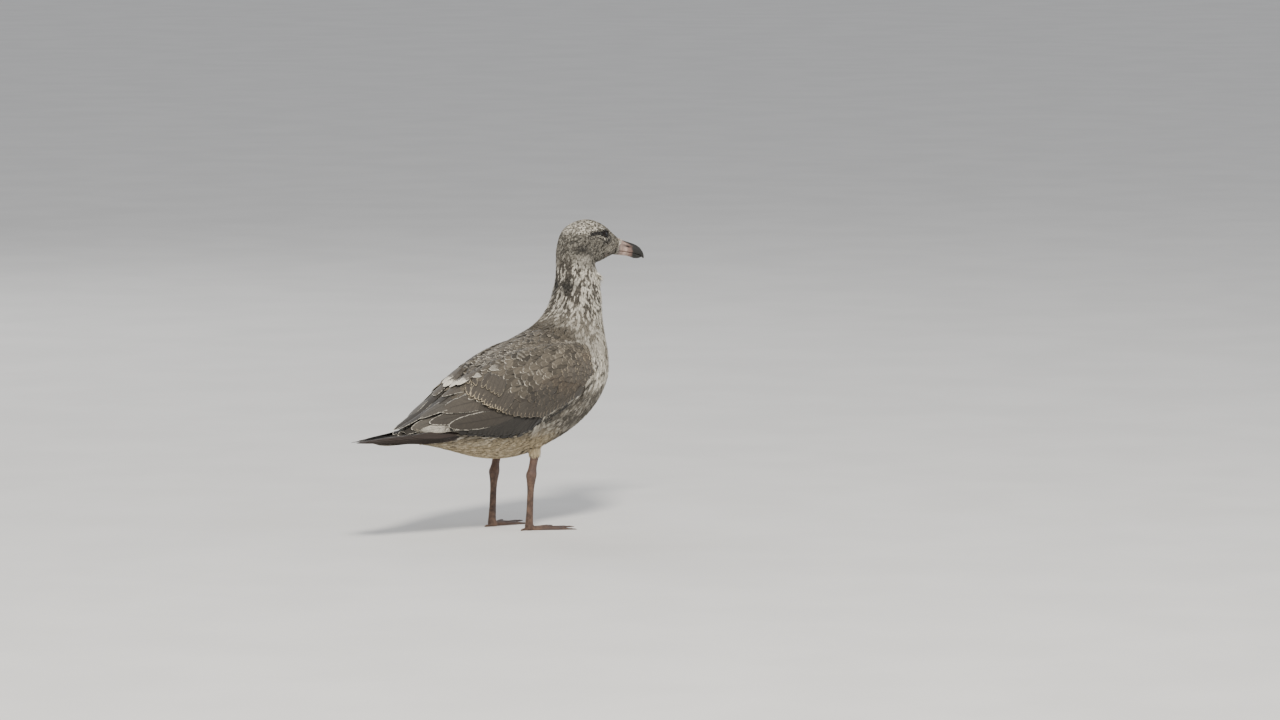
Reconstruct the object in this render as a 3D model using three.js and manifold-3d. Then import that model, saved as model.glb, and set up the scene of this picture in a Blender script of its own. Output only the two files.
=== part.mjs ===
// A young gull standing still, at life size: a museum-like model in millimetres.
// The bird heads along +X, its right side is toward -Y, and +Z is up.
// The origin is on the floor, under the middle of the body.
import * as THREE from "three";
import { mergeVertices } from "three/addons/utils/BufferGeometryUtils.js";
import Module from "manifold-3d";

const wasm = await Module();
wasm.setup();

// ---------------------------------------------------------------- driving dimensions (mm)
const GAP = 0.3; // clearance between neighbouring solids
const AROUND = 32; // facets round the body
const CENTRE_X = 12.85; // moves the whole bird so that the origin is under the middle of its box

const CROWN_HEIGHT = 350; // floor to the top of the crown
const EYE = { x: 129.4, y: 12.2, z: 332.4, radius: 8 }; // centre of the right eyeball is at -y
const BILL_TIP = [206.3, 299.5];

const FOOT_SPACING = 56; // between the two ankles
const FOOT_STEP = 8; // right foot ahead of the left
const FOOT_SPLAY = 12; // degrees that each foot is turned outward
const ANKLE_HEIGHT = 7;
const THIGH_FOOT = 88; // where the thigh's feathers end
const HEEL_HEIGHT = 64; // the backward-looking joint above the tarsus
const TARSUS = { side: 4.2, front: 3.2 }; // half of its depth, front to back, and of its width

// Rows of the thigh, the shank and the ankle, from the top down: how far each is ahead of the
// ankle's middle, its height, and half of its depth front to back ("side") and of its width.
const THIGH = [
  { ahead: 11.4, z: 104, side: 9.4, front: 8.0 },
  { ahead: 10.7, z: 98, side: 8.0, front: 7.0 },
  { ahead: 10.1, z: 93, side: 6.9, front: 6.1 },
  { ahead: 9.5, z: THIGH_FOOT, side: 6.0, front: 5.3 },
];
const SHANK = [
  { ahead: 9.2, z: THIGH_FOOT - GAP, side: 5.3, front: 4.6 },
  { ahead: 7.2, z: 79, side: 5.0, front: 4.3 },
  { ahead: 5.2, z: 71, side: 5.0, front: 4.2 },
  { ahead: 3.6, z: HEEL_HEIGHT, side: 6.7, front: 5.4 },
  { ahead: 3.2, z: 57, side: 5.6, front: 4.4 },
  { ahead: 2.4, z: 46, ...TARSUS },
  { ahead: 1.2, z: 24, ...TARSUS },
  { ahead: 0.4, z: 13, side: 4.6, front: 3.6 },
  { ahead: 0, z: ANKLE_HEIGHT + GAP, side: 4.9, front: 4.0 },
];
const ANKLE = [
  { ahead: 0, z: ANKLE_HEIGHT, side: 4.9, front: 4.0 },
  { ahead: 0.4, z: 5.6, side: 5.5, front: 4.5 },
  { ahead: 1.3, z: 3, side: 6.4, front: 5.0 },
  { ahead: 1.6, z: 0, side: 6.6, front: 5.0 },
];

const TOES = [
  // inner, middle and outer: angle outward from the middle toe, length, half width at the root
  { angle: -27, length: 43, width: 3.1 },
  { angle: 0, length: 54, width: 3.3 },
  { angle: 24, length: 50, width: 3.1 },
];
const TOE_HEIGHT = { root: 5.4, tip: 2.2 };
const TOE_JOINTS = 3; // swellings along a toe
const CLAW = { length: 7.5, overlap: 2, width: 1.5, height: 1.9, tip: 0.35 };
const HIND_TOE = { back: 3, inward: 2, turn: 0.35, length: 9, width: 1.7, height: 3.4 };
const WEB = { thickness: 1.5, reach: 0.93, inset: 0.74 }; // shares of the toes' length

// The body is a loft of fan-like stations. Each one is a line in the plane of symmetry, from
// [x, z] on the back or nape ("top") to [x, z] on the belly or throat ("low"), with the half
// width of the body there and the height of its widest point as a fraction of the line.
const STATIONS = {
  tertialTip: { top: [-155, 129], low: [-154, 113], half: 13, level: 0.45 },
  overTail: { top: [-138, 135.5], low: [-140, 108.5], half: 20, level: 0.45 },
  rump: { top: [-108, 152.5], low: [-112, 102.5], half: 31, level: 0.42 },
  vent: { top: [-77, 175], low: [-84, 95], half: 40, level: 0.44 },
  loin: { top: [-46, 194.5], low: [-54, 86.5], half: 46.5, level: 0.47 },
  back: { top: [-14, 209.5], low: [-22, 82], half: 50, level: 0.5 },
  saddle: { top: [14, 219.5], low: [12, 84.5], half: 51.5, level: 0.5 },
  shoulder: { top: [36, 227], low: [45, 94], half: 52, level: 0.52 },
  neckRoot: { top: [52, 234], low: [80, 108], half: 51, level: 0.52 },
  breastLow: { top: [61.5, 241.5], low: [111, 129], half: 48.5, level: 0.52 },
  breast: { top: [68, 249.5], low: [130.5, 156], half: 44, level: 0.48 },
  crop: { top: [72, 258], low: [134.5, 182], half: 38, level: 0.46 },
  neckLow: { top: [75, 267], low: [132.5, 209], half: 32, level: 0.48 },
  neckMiddle: { top: [77, 278], low: [130.5, 236], half: 28, level: 0.5 },
  neckHigh: { top: [78, 290], low: [130.5, 261], half: 25.2, level: 0.5 },
  throat: { top: [77.5, 302], low: [128, 284], half: 23, level: 0.5 },
  gorget: { top: [77, 314], low: [121.5, 299], half: 21.4, level: 0.52 },
  nape: { top: [78.5, 326], low: [128.5, 299], half: 20.6, level: 0.5 },
  hindCrown: { top: [85, 340], low: [138, 301.5], half: 20.4, level: 0.5 },
  midCrown: { top: [101, 348], low: [144, 303.5], half: 20.2, level: 0.5 },
  crown: { top: [119, CROWN_HEIGHT], low: [149, 305], half: 19.2, level: 0.52 },
  brow: { top: [136, 344.5], low: [152.5, 306], half: 16.4, level: 0.5 },
  forehead: { top: [149.5, 335.5], low: [155.5, 307], half: 12, level: 0.46 },
  billBase: { top: [164.5, 325.8], low: [158, 307.8], half: 7.8, level: 0.45 },
};
const ROUNDNESS = 2.15; // exponent of the cross-section's superellipse
const RINGS = { trunk: 2.2, neck: 1.6, head: 1.8 }; // rings of facets for each station
const NAMES = Object.keys(STATIONS);
const AT = Object.fromEntries(NAMES.map((name, i) => [name, i]));

// where the body is parted into nodes, as station numbers
const TRUNK_START = AT.overTail + 0.1;
const NECK_CUT = AT.breast + 0.5;
const HEAD_CUT = AT.gorget + 0.35;

// The folded wing is a shell laid on the flank between an upper and a lower edge.
const WING_FRONT = AT.breastLow + 0.35;
const WING_REAR = AT.tertialTip;
const WING_LIFT = 6.5; // how far its middle stands off the flank
const WING_EDGE = 3.2; // how thick its edges are
const WING_ROOT_DEPTH = 3; // how far it reaches in, before the trunk is cut out of it
const WING_FADE = { front: 1.6, rear: 1.5 }; // stations over which it thins toward its ends
const WING_GRID = { along: 22, across: 9 };
const WING_LOW_EDGE = [
  // x, z of the lower edge, from the wrist to the tips of the tertials
  [90, 186],
  [81, 171],
  [62, 154],
  [6, 134],
  [-16, 117],
  [-33, 109.5],
  [-95, 117],
  [-139, 121],
  [-165, 117],
];
const WING_TOP_EDGE = [
  // x, and the angle in degrees from the midline of the back
  [92, 76],
  [75, 64],
  [55, 50],
  [25, 36],
  [-15, 24],
  [-50, 12],
  [-85, 1.2],
  [-180, 1.0],
];

// The folded primaries: one tapering blade each side, from under the tertials to the wing tip.
const PRIMARIES = [
  // x, y (right side), z, half width, half thickness, tilt in degrees
  { x: -90, y: -39, z: 110.5, wide: 5, thick: 1.8, tilt: 66 },
  { x: -120, y: -31, z: 113.5, wide: 7.5, thick: 2.4, tilt: 58 },
  { x: -150, y: -22, z: 118, wide: 8.5, thick: 2.6, tilt: 44 },
  { x: -180, y: -14.5, z: 121, wide: 8, thick: 2.2, tilt: 32 },
  { x: -210, y: -9, z: 120.4, wide: 5.4, thick: 1.6, tilt: 24 },
  { x: -232, y: -3.6, z: 118.2, wide: 1.8, thick: 0.9, tilt: 18 },
];

// The closed tail: a shallow arched blade.
const TAIL = [
  { x: -116, z: 114, wide: 12, thick: 3.0, arch: 1.5 },
  { x: -145, z: 114.8, wide: 16, thick: 2.3, arch: 1.8 },
  { x: -178, z: 115.6, wide: 20, thick: 1.6, arch: 2.0 },
  { x: -201, z: 116, wide: 22, thick: 1.1, arch: 2.2 },
  { x: -210, z: 116.2, wide: 19.5, thick: 0.8, arch: 2.0 },
];

// The bill: [x, z] of the ridge (culmen), of the cutting edge and of the lower outline.
const BILL_UPPER = [
  { ridge: [165.2, 325.4], edge: [159.6, 311.2], half: 7.3 },
  { ridge: [171.5, 322.6], edge: [167, 310.2], half: 6.5 },
  { ridge: [179, 320.3], edge: [176, 308.8], half: 5.6 },
  { ridge: [187, 318], edge: [184, 307.3], half: 4.9 },
  { ridge: [193.5, 315.6], edge: [191, 305.8], half: 4.3 },
  { ridge: [199, 312.3], edge: [197, 304.2], half: 3.6 },
  { ridge: [203.2, 307.8], edge: [201.5, 302.2], half: 2.7 },
  { ridge: [205.6, 303.4], edge: [203.8, 300.6], half: 1.6 },
  { ridge: BILL_TIP, edge: [205.2, 299.2], half: 0.5 },
];
const BILL_LOWER = [
  { edge: [159.4, 310.8], keel: [158.2, 306.6], half: 6.9 },
  { edge: [167, 309.8], keel: [166, 305.4], half: 6.1 },
  { edge: [176, 308.4], keel: [175.5, 304.3], half: 5.2 },
  { edge: [184, 306.9], keel: [184, 302.6], half: 4.5 },
  { edge: [190, 305.6], keel: [190.5, 300.2], half: 3.9 },
  { edge: [195, 304.3], keel: [195.5, 299.8], half: 3.1 },
  { edge: [199.5, 302.9], keel: [199.6, 300.3], half: 2.1 },
  { edge: [202.2, 301.7], keel: [202.2, 300.9], half: 0.8 },
];

// ---------------------------------------------------------------- materials
const paint = (name, color, roughness) =>
  new THREE.MeshStandardMaterial({ name, color, roughness, metalness: 0 });
const MATERIALS = {
  plumage: paint("plumage", 0x85796a, 0.85),
  pale: paint("pale plumage", 0xa39a89, 0.85),
  flight: paint("flight feathers", 0x3f342c, 0.7),
  bill: paint("bill", 0x8c6f62, 0.4),
  eye: paint("eye", 0x140f0b, 0.08),
  leg: paint("leg skin", 0x86604f, 0.55),
};

// ---------------------------------------------------------------- small helpers
const radians = (degrees) => (degrees * Math.PI) / 180;
const mix = (a, b, t) => a + (b - a) * t;
const power = (value, exponent) =>
  Math.sign(value) * Math.pow(Math.abs(value), exponent);

// Catmull-Rom value of a list of numbers at a real-valued index
function smooth(list, index) {
  const last = list.length - 1;
  const i = Math.min(Math.max(Math.floor(index), 0), last - 1);
  const t = index - i;
  const p1 = list[i];
  const p2 = list[i + 1];
  const p0 = i > 0 ? list[i - 1] : 2 * p1 - p2;
  const p3 = i + 2 <= last ? list[i + 2] : 2 * p2 - p1;
  const bend = 2 * p0 - 5 * p1 + 4 * p2 - p3;
  const twist = -p0 + 3 * p1 - 3 * p2 + p3;
  return 0.5 * (2 * p1 + (p2 - p0) * t + bend * t * t + twist * t * t * t);
}

// straight-line value at x of a table of [x, value] rows sorted with x falling
function table(rows, x) {
  if (x >= rows[0][0]) return rows[0][1];
  for (let i = 1; i < rows.length; i++) {
    const [xa, a] = rows[i - 1];
    const [xb, b] = rows[i];
    if (x >= xb) return mix(a, b, (x - xa) / (xb - xa));
  }
  return rows[rows.length - 1][1];
}

// a closed geometry from rings of points, each ring with the same count, and its two end caps
function loft(rings) {
  const count = rings[0].length;
  const points = rings.flat();
  const faces = [];
  const at = (i, j) => i * count + (j % count);
  for (let i = 0; i + 1 < rings.length; i++)
    for (let j = 0; j < count; j++) {
      faces.push(at(i, j), at(i, j + 1), at(i + 1, j + 1));
      faces.push(at(i, j), at(i + 1, j + 1), at(i + 1, j));
    }
  const ends = [
    [0, false],
    [rings.length - 1, true],
  ];
  for (const [row, turned] of ends) {
    const centre = new THREE.Vector3();
    rings[row].forEach((p) => centre.add(p));
    points.push(centre.divideScalar(count));
    const hub = points.length - 1;
    for (let j = 0; j < count; j++) {
      const [a, b] = [at(row, j), at(row, j + 1)];
      faces.push(...(turned ? [hub, a, b] : [hub, b, a]));
    }
  }
  return facingOut(points, faces);
}

// an indexed geometry, turned so that its faces point out
function facingOut(points, faces) {
  let volume = 0;
  for (let i = 0; i < faces.length; i += 3) {
    const [a, b, c] = [points[faces[i]], points[faces[i + 1]], points[faces[i + 2]]];
    volume += a.dot(new THREE.Vector3().crossVectors(b, c));
  }
  if (volume < 0)
    for (let i = 0; i < faces.length; i += 3)
      [faces[i + 1], faces[i + 2]] = [faces[i + 2], faces[i + 1]];
  return new THREE.BufferGeometry().setFromPoints(points).setIndex(faces);
}

// a manifold-3d solid from a closed geometry, and a geometry from a solid
function solid(geometry) {
  const bare = geometry.clone();
  bare.deleteAttribute("normal");
  bare.deleteAttribute("uv");
  const merged = mergeVertices(bare, 1e-4);
  return new wasm.Manifold(
    new wasm.Mesh({
      numProp: 3,
      vertProperties: merged.attributes.position.array,
      triVerts: new Uint32Array(merged.index.array),
    }),
  );
}

function geometryOf(made) {
  const data = made.getMesh();
  const xyz = new THREE.BufferAttribute(data.vertProperties, 3);
  return new THREE.BufferGeometry()
    .setAttribute("position", xyz)
    .setIndex(new THREE.BufferAttribute(data.triVerts, 1));
}

// the largest body of a solid: a cut may leave a loose crumb
function largest(made) {
  return made.decompose().sort((a, b) => b.volume() - a.volume())[0];
}

// the same geometry on the other side of the plane of symmetry
function mirrored(geometry) {
  const copy = geometry.index ? geometry.toNonIndexed() : geometry.clone();
  copy.deleteAttribute("normal");
  copy.deleteAttribute("uv");
  copy.scale(1, -1, 1);
  const p = copy.attributes.position;
  for (let i = 0; i < p.count; i += 3)
    for (let k = 0; k < 3; k++) {
      const keep = p.getComponent(i + 1, k);
      p.setComponent(i + 1, k, p.getComponent(i + 2, k));
      p.setComponent(i + 2, k, keep);
    }
  return mergeVertices(copy, 1e-5);
}

// ---------------------------------------------------------------- the body's surface
const CHANNELS = {
  topX: NAMES.map((n) => STATIONS[n].top[0]),
  topZ: NAMES.map((n) => STATIONS[n].top[1]),
  lowX: NAMES.map((n) => STATIONS[n].low[0]),
  lowZ: NAMES.map((n) => STATIONS[n].low[1]),
  half: NAMES.map((n) => STATIONS[n].half),
  level: NAMES.map((n) => STATIONS[n].level),
};

// a point of the body at station s and angle phi: 0 on the back, 90 degrees on the right flank
function bodyPoint(s, phi) {
  const [tx, tz, lx, lz, half, level] = Object.values(CHANNELS).map((c) =>
    smooth(c, s),
  );
  const up = power(Math.cos(phi), 2 / ROUNDNESS);
  const out = power(Math.sin(phi), 2 / ROUNDNESS);
  const f = level + up * (up > 0 ? 1 - level : level);
  return new THREE.Vector3(mix(lx, tx, f), -half * out, mix(lz, tz, f));
}

function bodyNormal(s, phi) {
  const d = 0.01;
  const along = bodyPoint(s + d, phi).sub(bodyPoint(s - d, phi));
  const round = bodyPoint(s, phi + d).sub(bodyPoint(s, phi - d));
  return round.cross(along).normalize();
}

function bodyRing(s, offset = 0) {
  const ring = [];
  for (let j = 0; j < AROUND; j++) {
    const phi = (2 * Math.PI * j) / AROUND;
    const point = bodyPoint(s, phi);
    if (offset) point.addScaledVector(bodyNormal(s, phi), offset);
    ring.push(point);
  }
  return ring;
}

// the body between two stations, with so many steps for each station
function bodyPiece(from, to, perStation, offset = 0) {
  const steps = Math.max(2, Math.round((to - from) * perStation));
  const rings = [];
  for (let i = 0; i <= steps; i++)
    rings.push(bodyRing(mix(from, to, i / steps), offset));
  return loft(rings);
}

// half of a thin cut, in stations, at station s
function halfCut(s) {
  const step = bodyPoint(s + 0.05, Math.PI / 2).distanceTo(
    bodyPoint(s - 0.05, Math.PI / 2),
  );
  return (0.1 * GAP) / step;
}

// ---------------------------------------------------------------- the folded wing
// the angle at which the body at station s comes down to the wing's lower edge
function lowEdgeAngle(s) {
  let [above, below] = [radians(20), radians(172)];
  for (let i = 0; i < 30; i++) {
    const middle = (above + below) / 2;
    const p = bodyPoint(s, middle);
    if (p.z > table(WING_LOW_EDGE, p.x)) above = middle;
    else below = middle;
  }
  return above;
}

function topEdgeAngle(s) {
  let angle = radians(40);
  for (let i = 0; i < 12; i++)
    angle = radians(table(WING_TOP_EDGE, bodyPoint(s, angle).x));
  return angle;
}

function wingShell() {
  const { along, across } = WING_GRID;
  const outer = [];
  const inner = [];
  for (let i = 0; i <= along; i++) {
    const s = mix(WING_REAR, WING_FRONT, i / along);
    const [top, low] = [topEdgeAngle(s), lowEdgeAngle(s)];
    const frontFade = Math.min(1, (WING_FRONT - s) / WING_FADE.front);
    const rearFade = Math.min(1, (s - WING_REAR) / WING_FADE.rear);
    for (let j = 0; j <= across; j++) {
      const phi = mix(top, low, j / across);
      const bulge = Math.pow(Math.sin((Math.PI * j) / across), 0.6);
      const rise = (WING_LIFT - WING_EDGE) * bulge * Math.sqrt(frontFade);
      const lift = (WING_EDGE + rise) * mix(0.5, 1, rearFade);
      const normal = bodyNormal(s, phi);
      const base = bodyPoint(s, phi);
      outer.push(base.clone().addScaledVector(normal, lift));
      inner.push(base.clone().addScaledVector(normal, -mix(0, WING_ROOT_DEPTH, rearFade)));
    }
  }
  return block(outer, inner, along, across);
}

// a closed block between two grids of (rows + 1) by (columns + 1) points
function block(outer, inner, rows, columns) {
  const points = outer.concat(inner);
  const shift = outer.length;
  const at = (i, j) => i * (columns + 1) + j;
  const faces = [];
  const quad = (a, b, c, d) => faces.push(a, b, c, a, c, d);
  for (let i = 0; i < rows; i++)
    for (let j = 0; j < columns; j++) {
      const [a, b, c, d] = [at(i, j), at(i, j + 1), at(i + 1, j + 1), at(i + 1, j)];
      quad(a, b, c, d);
      quad(d + shift, c + shift, b + shift, a + shift);
    }
  for (let i = 0; i < rows; i++) {
    const [a, d] = [at(i, 0), at(i + 1, 0)];
    const [b, c] = [at(i, columns), at(i + 1, columns)];
    quad(a, d, d + shift, a + shift);
    quad(c, b, b + shift, c + shift);
  }
  for (let j = 0; j < columns; j++) {
    const [a, b] = [at(0, j), at(0, j + 1)];
    const [d, c] = [at(rows, j), at(rows, j + 1)];
    quad(b, a, a + shift, b + shift);
    quad(d, c, c + shift, d + shift);
  }
  return facingOut(points, faces);
}

// ---------------------------------------------------------------- blades: primaries and tail
function blade(rows, sides, steps, ringAt) {
  const keys = Object.keys(rows[0]);
  const rings = [];
  for (let i = 0; i <= steps; i++) {
    const index = ((rows.length - 1) * i) / steps;
    const row = {};
    for (const key of keys)
      row[key] = smooth(
        rows.map((r) => r[key]),
        index,
      );
    const ring = [];
    for (let j = 0; j < sides; j++)
      ring.push(ringAt(row, (2 * Math.PI * j) / sides));
    rings.push(ring);
  }
  return loft(rings);
}

function primaries() {
  return blade(PRIMARIES, 10, 9, (row, angle) => {
    const tilt = radians(row.tilt);
    const w = row.wide * Math.cos(angle);
    const t = row.thick * Math.sin(angle);
    const y = row.y + w * Math.cos(tilt) + t * Math.sin(tilt);
    const z = row.z + w * Math.sin(tilt) - t * Math.cos(tilt);
    return new THREE.Vector3(row.x, y, z);
  });
}

function tail(extra = 0) {
  return blade(TAIL, 16, 6, (row, angle) => {
    const y = (row.wide + extra) * power(Math.cos(angle), 0.9);
    const arch = row.arch * (1 - (y / row.wide) ** 2);
    const rise = (row.thick + extra) * power(Math.sin(angle), 0.7);
    return new THREE.Vector3(row.x, y, row.z - row.arch + arch + rise);
  });
}

// ---------------------------------------------------------------- the bill and the eyes
function billUpper() {
  const sides = 16;
  const rings = BILL_UPPER.map(({ ridge, edge, half }) => {
    const ring = [];
    for (let j = 0; j < sides; j++) {
      const angle = Math.PI * (j / (sides - 1));
      const up = power(Math.sin(angle), 0.85);
      const y = -half * power(Math.cos(angle), 0.8);
      ring.push(new THREE.Vector3(mix(edge[0], ridge[0], up), y, mix(edge[1], ridge[1], up)));
    }
    return ring;
  });
  return loft(rings);
}

function billLower() {
  const sides = 12;
  const rings = BILL_LOWER.map(({ edge, keel, half }) => {
    const ring = [];
    for (let j = 0; j < sides; j++) {
      const angle = Math.PI * (j / (sides - 1));
      const down = power(Math.sin(angle), 0.8);
      const y = half * power(Math.cos(angle), 0.8);
      ring.push(new THREE.Vector3(mix(edge[0], keel[0], down), y, mix(edge[1], keel[1], down)));
    }
    return ring;
  });
  return loft(rings);
}

function eyeball(side, radius) {
  const ball = new THREE.SphereGeometry(radius, 12, 8);
  ball.rotateX(Math.PI / 2);
  ball.translate(EYE.x, side * EYE.y, EYE.z);
  return ball;
}

// ---------------------------------------------------------------- legs and feet
// a tube of elliptical sections through rows of { ahead, z, side, front } over the ankle's place
function limb(place, rows, steps, sides) {
  return blade(rows, sides, steps, (row, angle) => {
    const x = place.x + row.ahead + row.side * Math.cos(angle);
    const y = place.y + row.front * Math.sin(angle);
    return new THREE.Vector3(x, y, row.z);
  });
}

function footPlace(side) {
  const x = side < 0 ? FOOT_STEP / 2 : -FOOT_STEP / 2;
  return { x, y: (side * FOOT_SPACING) / 2 };
}

// half of an ellipse standing on the floor, across a line that leaves origin at heading
function archRing(origin, heading, reach, width, height, bluntness) {
  const sides = 5;
  const ring = [];
  for (let j = 0; j < sides; j++) {
    const angle = Math.PI * (j / (sides - 1));
    const across = width * power(Math.cos(angle), bluntness);
    const up = height * power(Math.sin(angle), bluntness);
    const x = origin.x + reach * Math.cos(heading) - across * Math.sin(heading);
    const y = origin.y + reach * Math.sin(heading) + across * Math.cos(heading);
    ring.push(new THREE.Vector3(x, y, up));
  }
  return ring;
}

// a toe lying flat on the floor: half-round above, flat below, with a blunt end
function toe(origin, heading, length, width, height) {
  const rings = [];
  const steps = 6;
  for (let i = 0; i <= steps; i++) {
    const t = i / steps;
    const end = i === steps;
    const joint = 1 + 0.1 * Math.cos(2 * Math.PI * TOE_JOINTS * t);
    const taper = mix(1, 0.62, t) * (end ? 0.45 : 1);
    const rise = mix(height, TOE_HEIGHT.tip, Math.sqrt(t)) * (end ? 0.55 : 1);
    rings.push(archRing(origin, heading, length * t, width * taper * joint, rise, 0.8));
  }
  return solid(loft(rings));
}

function claw(origin, heading, from) {
  const rings = [];
  const steps = 3;
  for (let i = 0; i <= steps; i++) {
    const t = i / steps;
    const width = mix(CLAW.width, CLAW.tip, t);
    const height = mix(CLAW.height, 2 * CLAW.tip, t);
    rings.push(archRing(origin, heading, from + CLAW.length * t, width, height, 1));
  }
  return solid(loft(rings));
}

// the web between two toes: its free edge curves in between the toe tips
function web(origin, headingA, reachA, headingB, reachB) {
  const outline = new THREE.Shape();
  const tipA = [reachA * Math.cos(headingA), reachA * Math.sin(headingA)];
  const tipB = [reachB * Math.cos(headingB), reachB * Math.sin(headingB)];
  const middle = (headingA + headingB) / 2;
  const inset = WEB.inset * Math.min(reachA, reachB);
  outline.moveTo(0, 0);
  outline.lineTo(...tipA);
  outline.quadraticCurveTo(inset * Math.cos(middle), inset * Math.sin(middle), ...tipB);
  outline.closePath();
  const plate = new THREE.ExtrudeGeometry(outline, {
    depth: WEB.thickness,
    bevelEnabled: false,
    curveSegments: 4,
  });
  plate.translate(origin.x, origin.y, 0);
  return solid(plate);
}

// the rounded joint at the foot of the tarsus, its toes, claws and webs, all flat on the floor
function foot(side) {
  const place = footPlace(side);
  const splay = side * radians(FOOT_SPLAY);
  const headings = TOES.map((t) => splay + side * radians(t.angle));
  let made = solid(limb(place, ANKLE, 3, 10));
  TOES.forEach((t, i) => {
    made = made.add(toe(place, headings[i], t.length, t.width, TOE_HEIGHT.root));
    made = made.add(claw(place, headings[i], t.length - CLAW.overlap));
  });
  const reach = TOES.map((t) => t.length * WEB.reach);
  for (const i of [0, 1]) {
    const plate = web(place, headings[i], reach[i], headings[i + 1], reach[i + 1]);
    made = made.add(plate);
  }
  const hind = { x: place.x - HIND_TOE.back, y: place.y - side * HIND_TOE.inward };
  const heading = Math.PI + splay - side * HIND_TOE.turn;
  made = made.add(toe(hind, heading, HIND_TOE.length, HIND_TOE.width, HIND_TOE.height));
  return geometryOf(largest(made));
}

// ---------------------------------------------------------------- assembly
const bird = new THREE.Group();
bird.name = "standing_gull";

function place(name, geometry, material) {
  const mesh = new THREE.Mesh(geometry, material);
  mesh.name = name;
  mesh.position.x = CENTRE_X;
  bird.add(mesh);
}

const cut = {
  neck: halfCut(NECK_CUT),
  head: halfCut(HEAD_CUT),
};
const trunk = bodyPiece(TRUNK_START, NECK_CUT - cut.neck, RINGS.trunk);
const neck = bodyPiece(NECK_CUT + cut.neck, HEAD_CUT - cut.head, RINGS.neck);
let head = solid(bodyPiece(HEAD_CUT + cut.head, AT.billBase, RINGS.head));

// the trunk and the tail swollen by the gap, to cut out of what lies on them
const trunkWide = solid(bodyPiece(TRUNK_START - 0.01, NECK_CUT - cut.neck, RINGS.trunk, GAP));
const tailWide = solid(tail(GAP));
const wingShape = solid(wingShell());
const wing = geometryOf(largest(wingShape.subtract(trunkWide)));
const quillShape = solid(primaries()).subtract(trunkWide).subtract(wingShape).subtract(tailWide);
const quills = geometryOf(largest(quillShape));

for (const side of [-1, 1]) {
  const word = side < 0 ? "right" : "left";
  const onSide = (geometry) => (side < 0 ? geometry : mirrored(geometry));
  const shank = limb(footPlace(side), SHANK, 17, 10);
  const thigh = solid(limb(footPlace(side), THIGH, 4, 12)).subtract(trunkWide);
  head = head.subtract(solid(eyeball(side, EYE.radius + GAP)));
  place("eye_" + word, eyeball(side, EYE.radius), MATERIALS.eye);
  place("wing_" + word, onSide(wing), MATERIALS.plumage);
  place("primaries_" + word, onSide(quills), MATERIALS.flight);
  place("thigh_" + word, geometryOf(largest(thigh)), MATERIALS.pale);
  place("leg_" + word, shank, MATERIALS.leg);
  place("foot_" + word, foot(side), MATERIALS.leg);
}
place("trunk", trunk, MATERIALS.plumage);
place("neck", neck, MATERIALS.pale);
place("head", geometryOf(largest(head)), MATERIALS.plumage);
place("tail", geometryOf(largest(solid(tail()).subtract(trunkWide))), MATERIALS.flight);
place("bill_upper", billUpper(), MATERIALS.bill);
place("bill_lower", billLower(), MATERIALS.bill);

export default bird;
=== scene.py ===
"""A young gull standing still, feathered as a museum would show it.

Everything is in metres, in the frame of the CAD part: the bird heads along +X, its right side is
toward -Y, and it stands on z = 0. Lengths written as "mm" are multiplied by MM.
"""

import math

import bpy
import numpy as np
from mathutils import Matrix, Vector
from mathutils.bvhtree import BVHTree
from mathutils.kdtree import KDTree


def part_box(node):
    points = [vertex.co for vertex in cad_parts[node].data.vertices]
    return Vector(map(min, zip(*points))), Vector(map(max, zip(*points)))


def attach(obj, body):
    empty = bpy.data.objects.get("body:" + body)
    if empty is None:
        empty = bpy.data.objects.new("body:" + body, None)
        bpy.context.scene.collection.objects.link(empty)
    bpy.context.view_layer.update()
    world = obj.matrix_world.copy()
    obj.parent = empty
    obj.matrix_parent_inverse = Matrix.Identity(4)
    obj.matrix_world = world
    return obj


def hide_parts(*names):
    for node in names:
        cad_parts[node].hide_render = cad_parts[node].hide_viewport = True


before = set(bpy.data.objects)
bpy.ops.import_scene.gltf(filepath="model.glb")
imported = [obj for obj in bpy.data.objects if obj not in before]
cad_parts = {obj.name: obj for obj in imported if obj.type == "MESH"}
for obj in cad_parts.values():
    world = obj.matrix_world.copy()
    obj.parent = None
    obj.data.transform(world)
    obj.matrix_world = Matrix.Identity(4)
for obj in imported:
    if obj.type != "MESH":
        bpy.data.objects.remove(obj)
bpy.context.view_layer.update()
MM = 0.001
SIDES = {"right": -1.0, "left": 1.0}


# ==== driving values
FLESH = ["trunk", "neck", "head"] + [f"{part}_{side}" for part in ("wing", "thigh") for side in SIDES]
SEAM = 0.35 * MM  # how far the flesh nodes are swollen, so that they join into one skin
SKIN_VOXEL = 1.7 * MM
UNWRAP_PATCH = 0.003  # how much of the unwrap each small feather takes
UNWRAP_EDGE = 0.004  # how much of the unwrap is left free at its edges
ROOTS_TRIED = 90000  # places on the outer surface that the small feathers' roots are chosen from
FAN = 0.85  # how far a soft feather's blades spread, as a share of its width
COMING_UP = 2.2  # how soon a feather comes up from under the surface: more is sooner
SEED = dict(skin=3, roots=5, soft=21, wing=40, lined=45, tertials=50, primaries=60, tail=70, tail_root=75)
NO_QUADS = np.empty((0, 4), int)
NO_TRIANGLES = np.empty((0, 3), int)

# The middle of the bird in its plane of symmetry, from the bill's root to the tail's root: x, z in mm.
SPINE = [
    (173, 317),
    (138, 327),
    (119, 311),
    (115, 285),
    (116, 255),
    (113, 225),
    (93, 190),
    (53, 162),
    (-7, 148),
    (-67, 138),
    (-137, 125),
]
SPINE_REACH = 20 * MM  # how far along the spine a point's direction is averaged
HEAD_END, NECK_END, SPINE_LENGTH = 92, 168, 430  # mm along the spine from the bill's root

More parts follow.
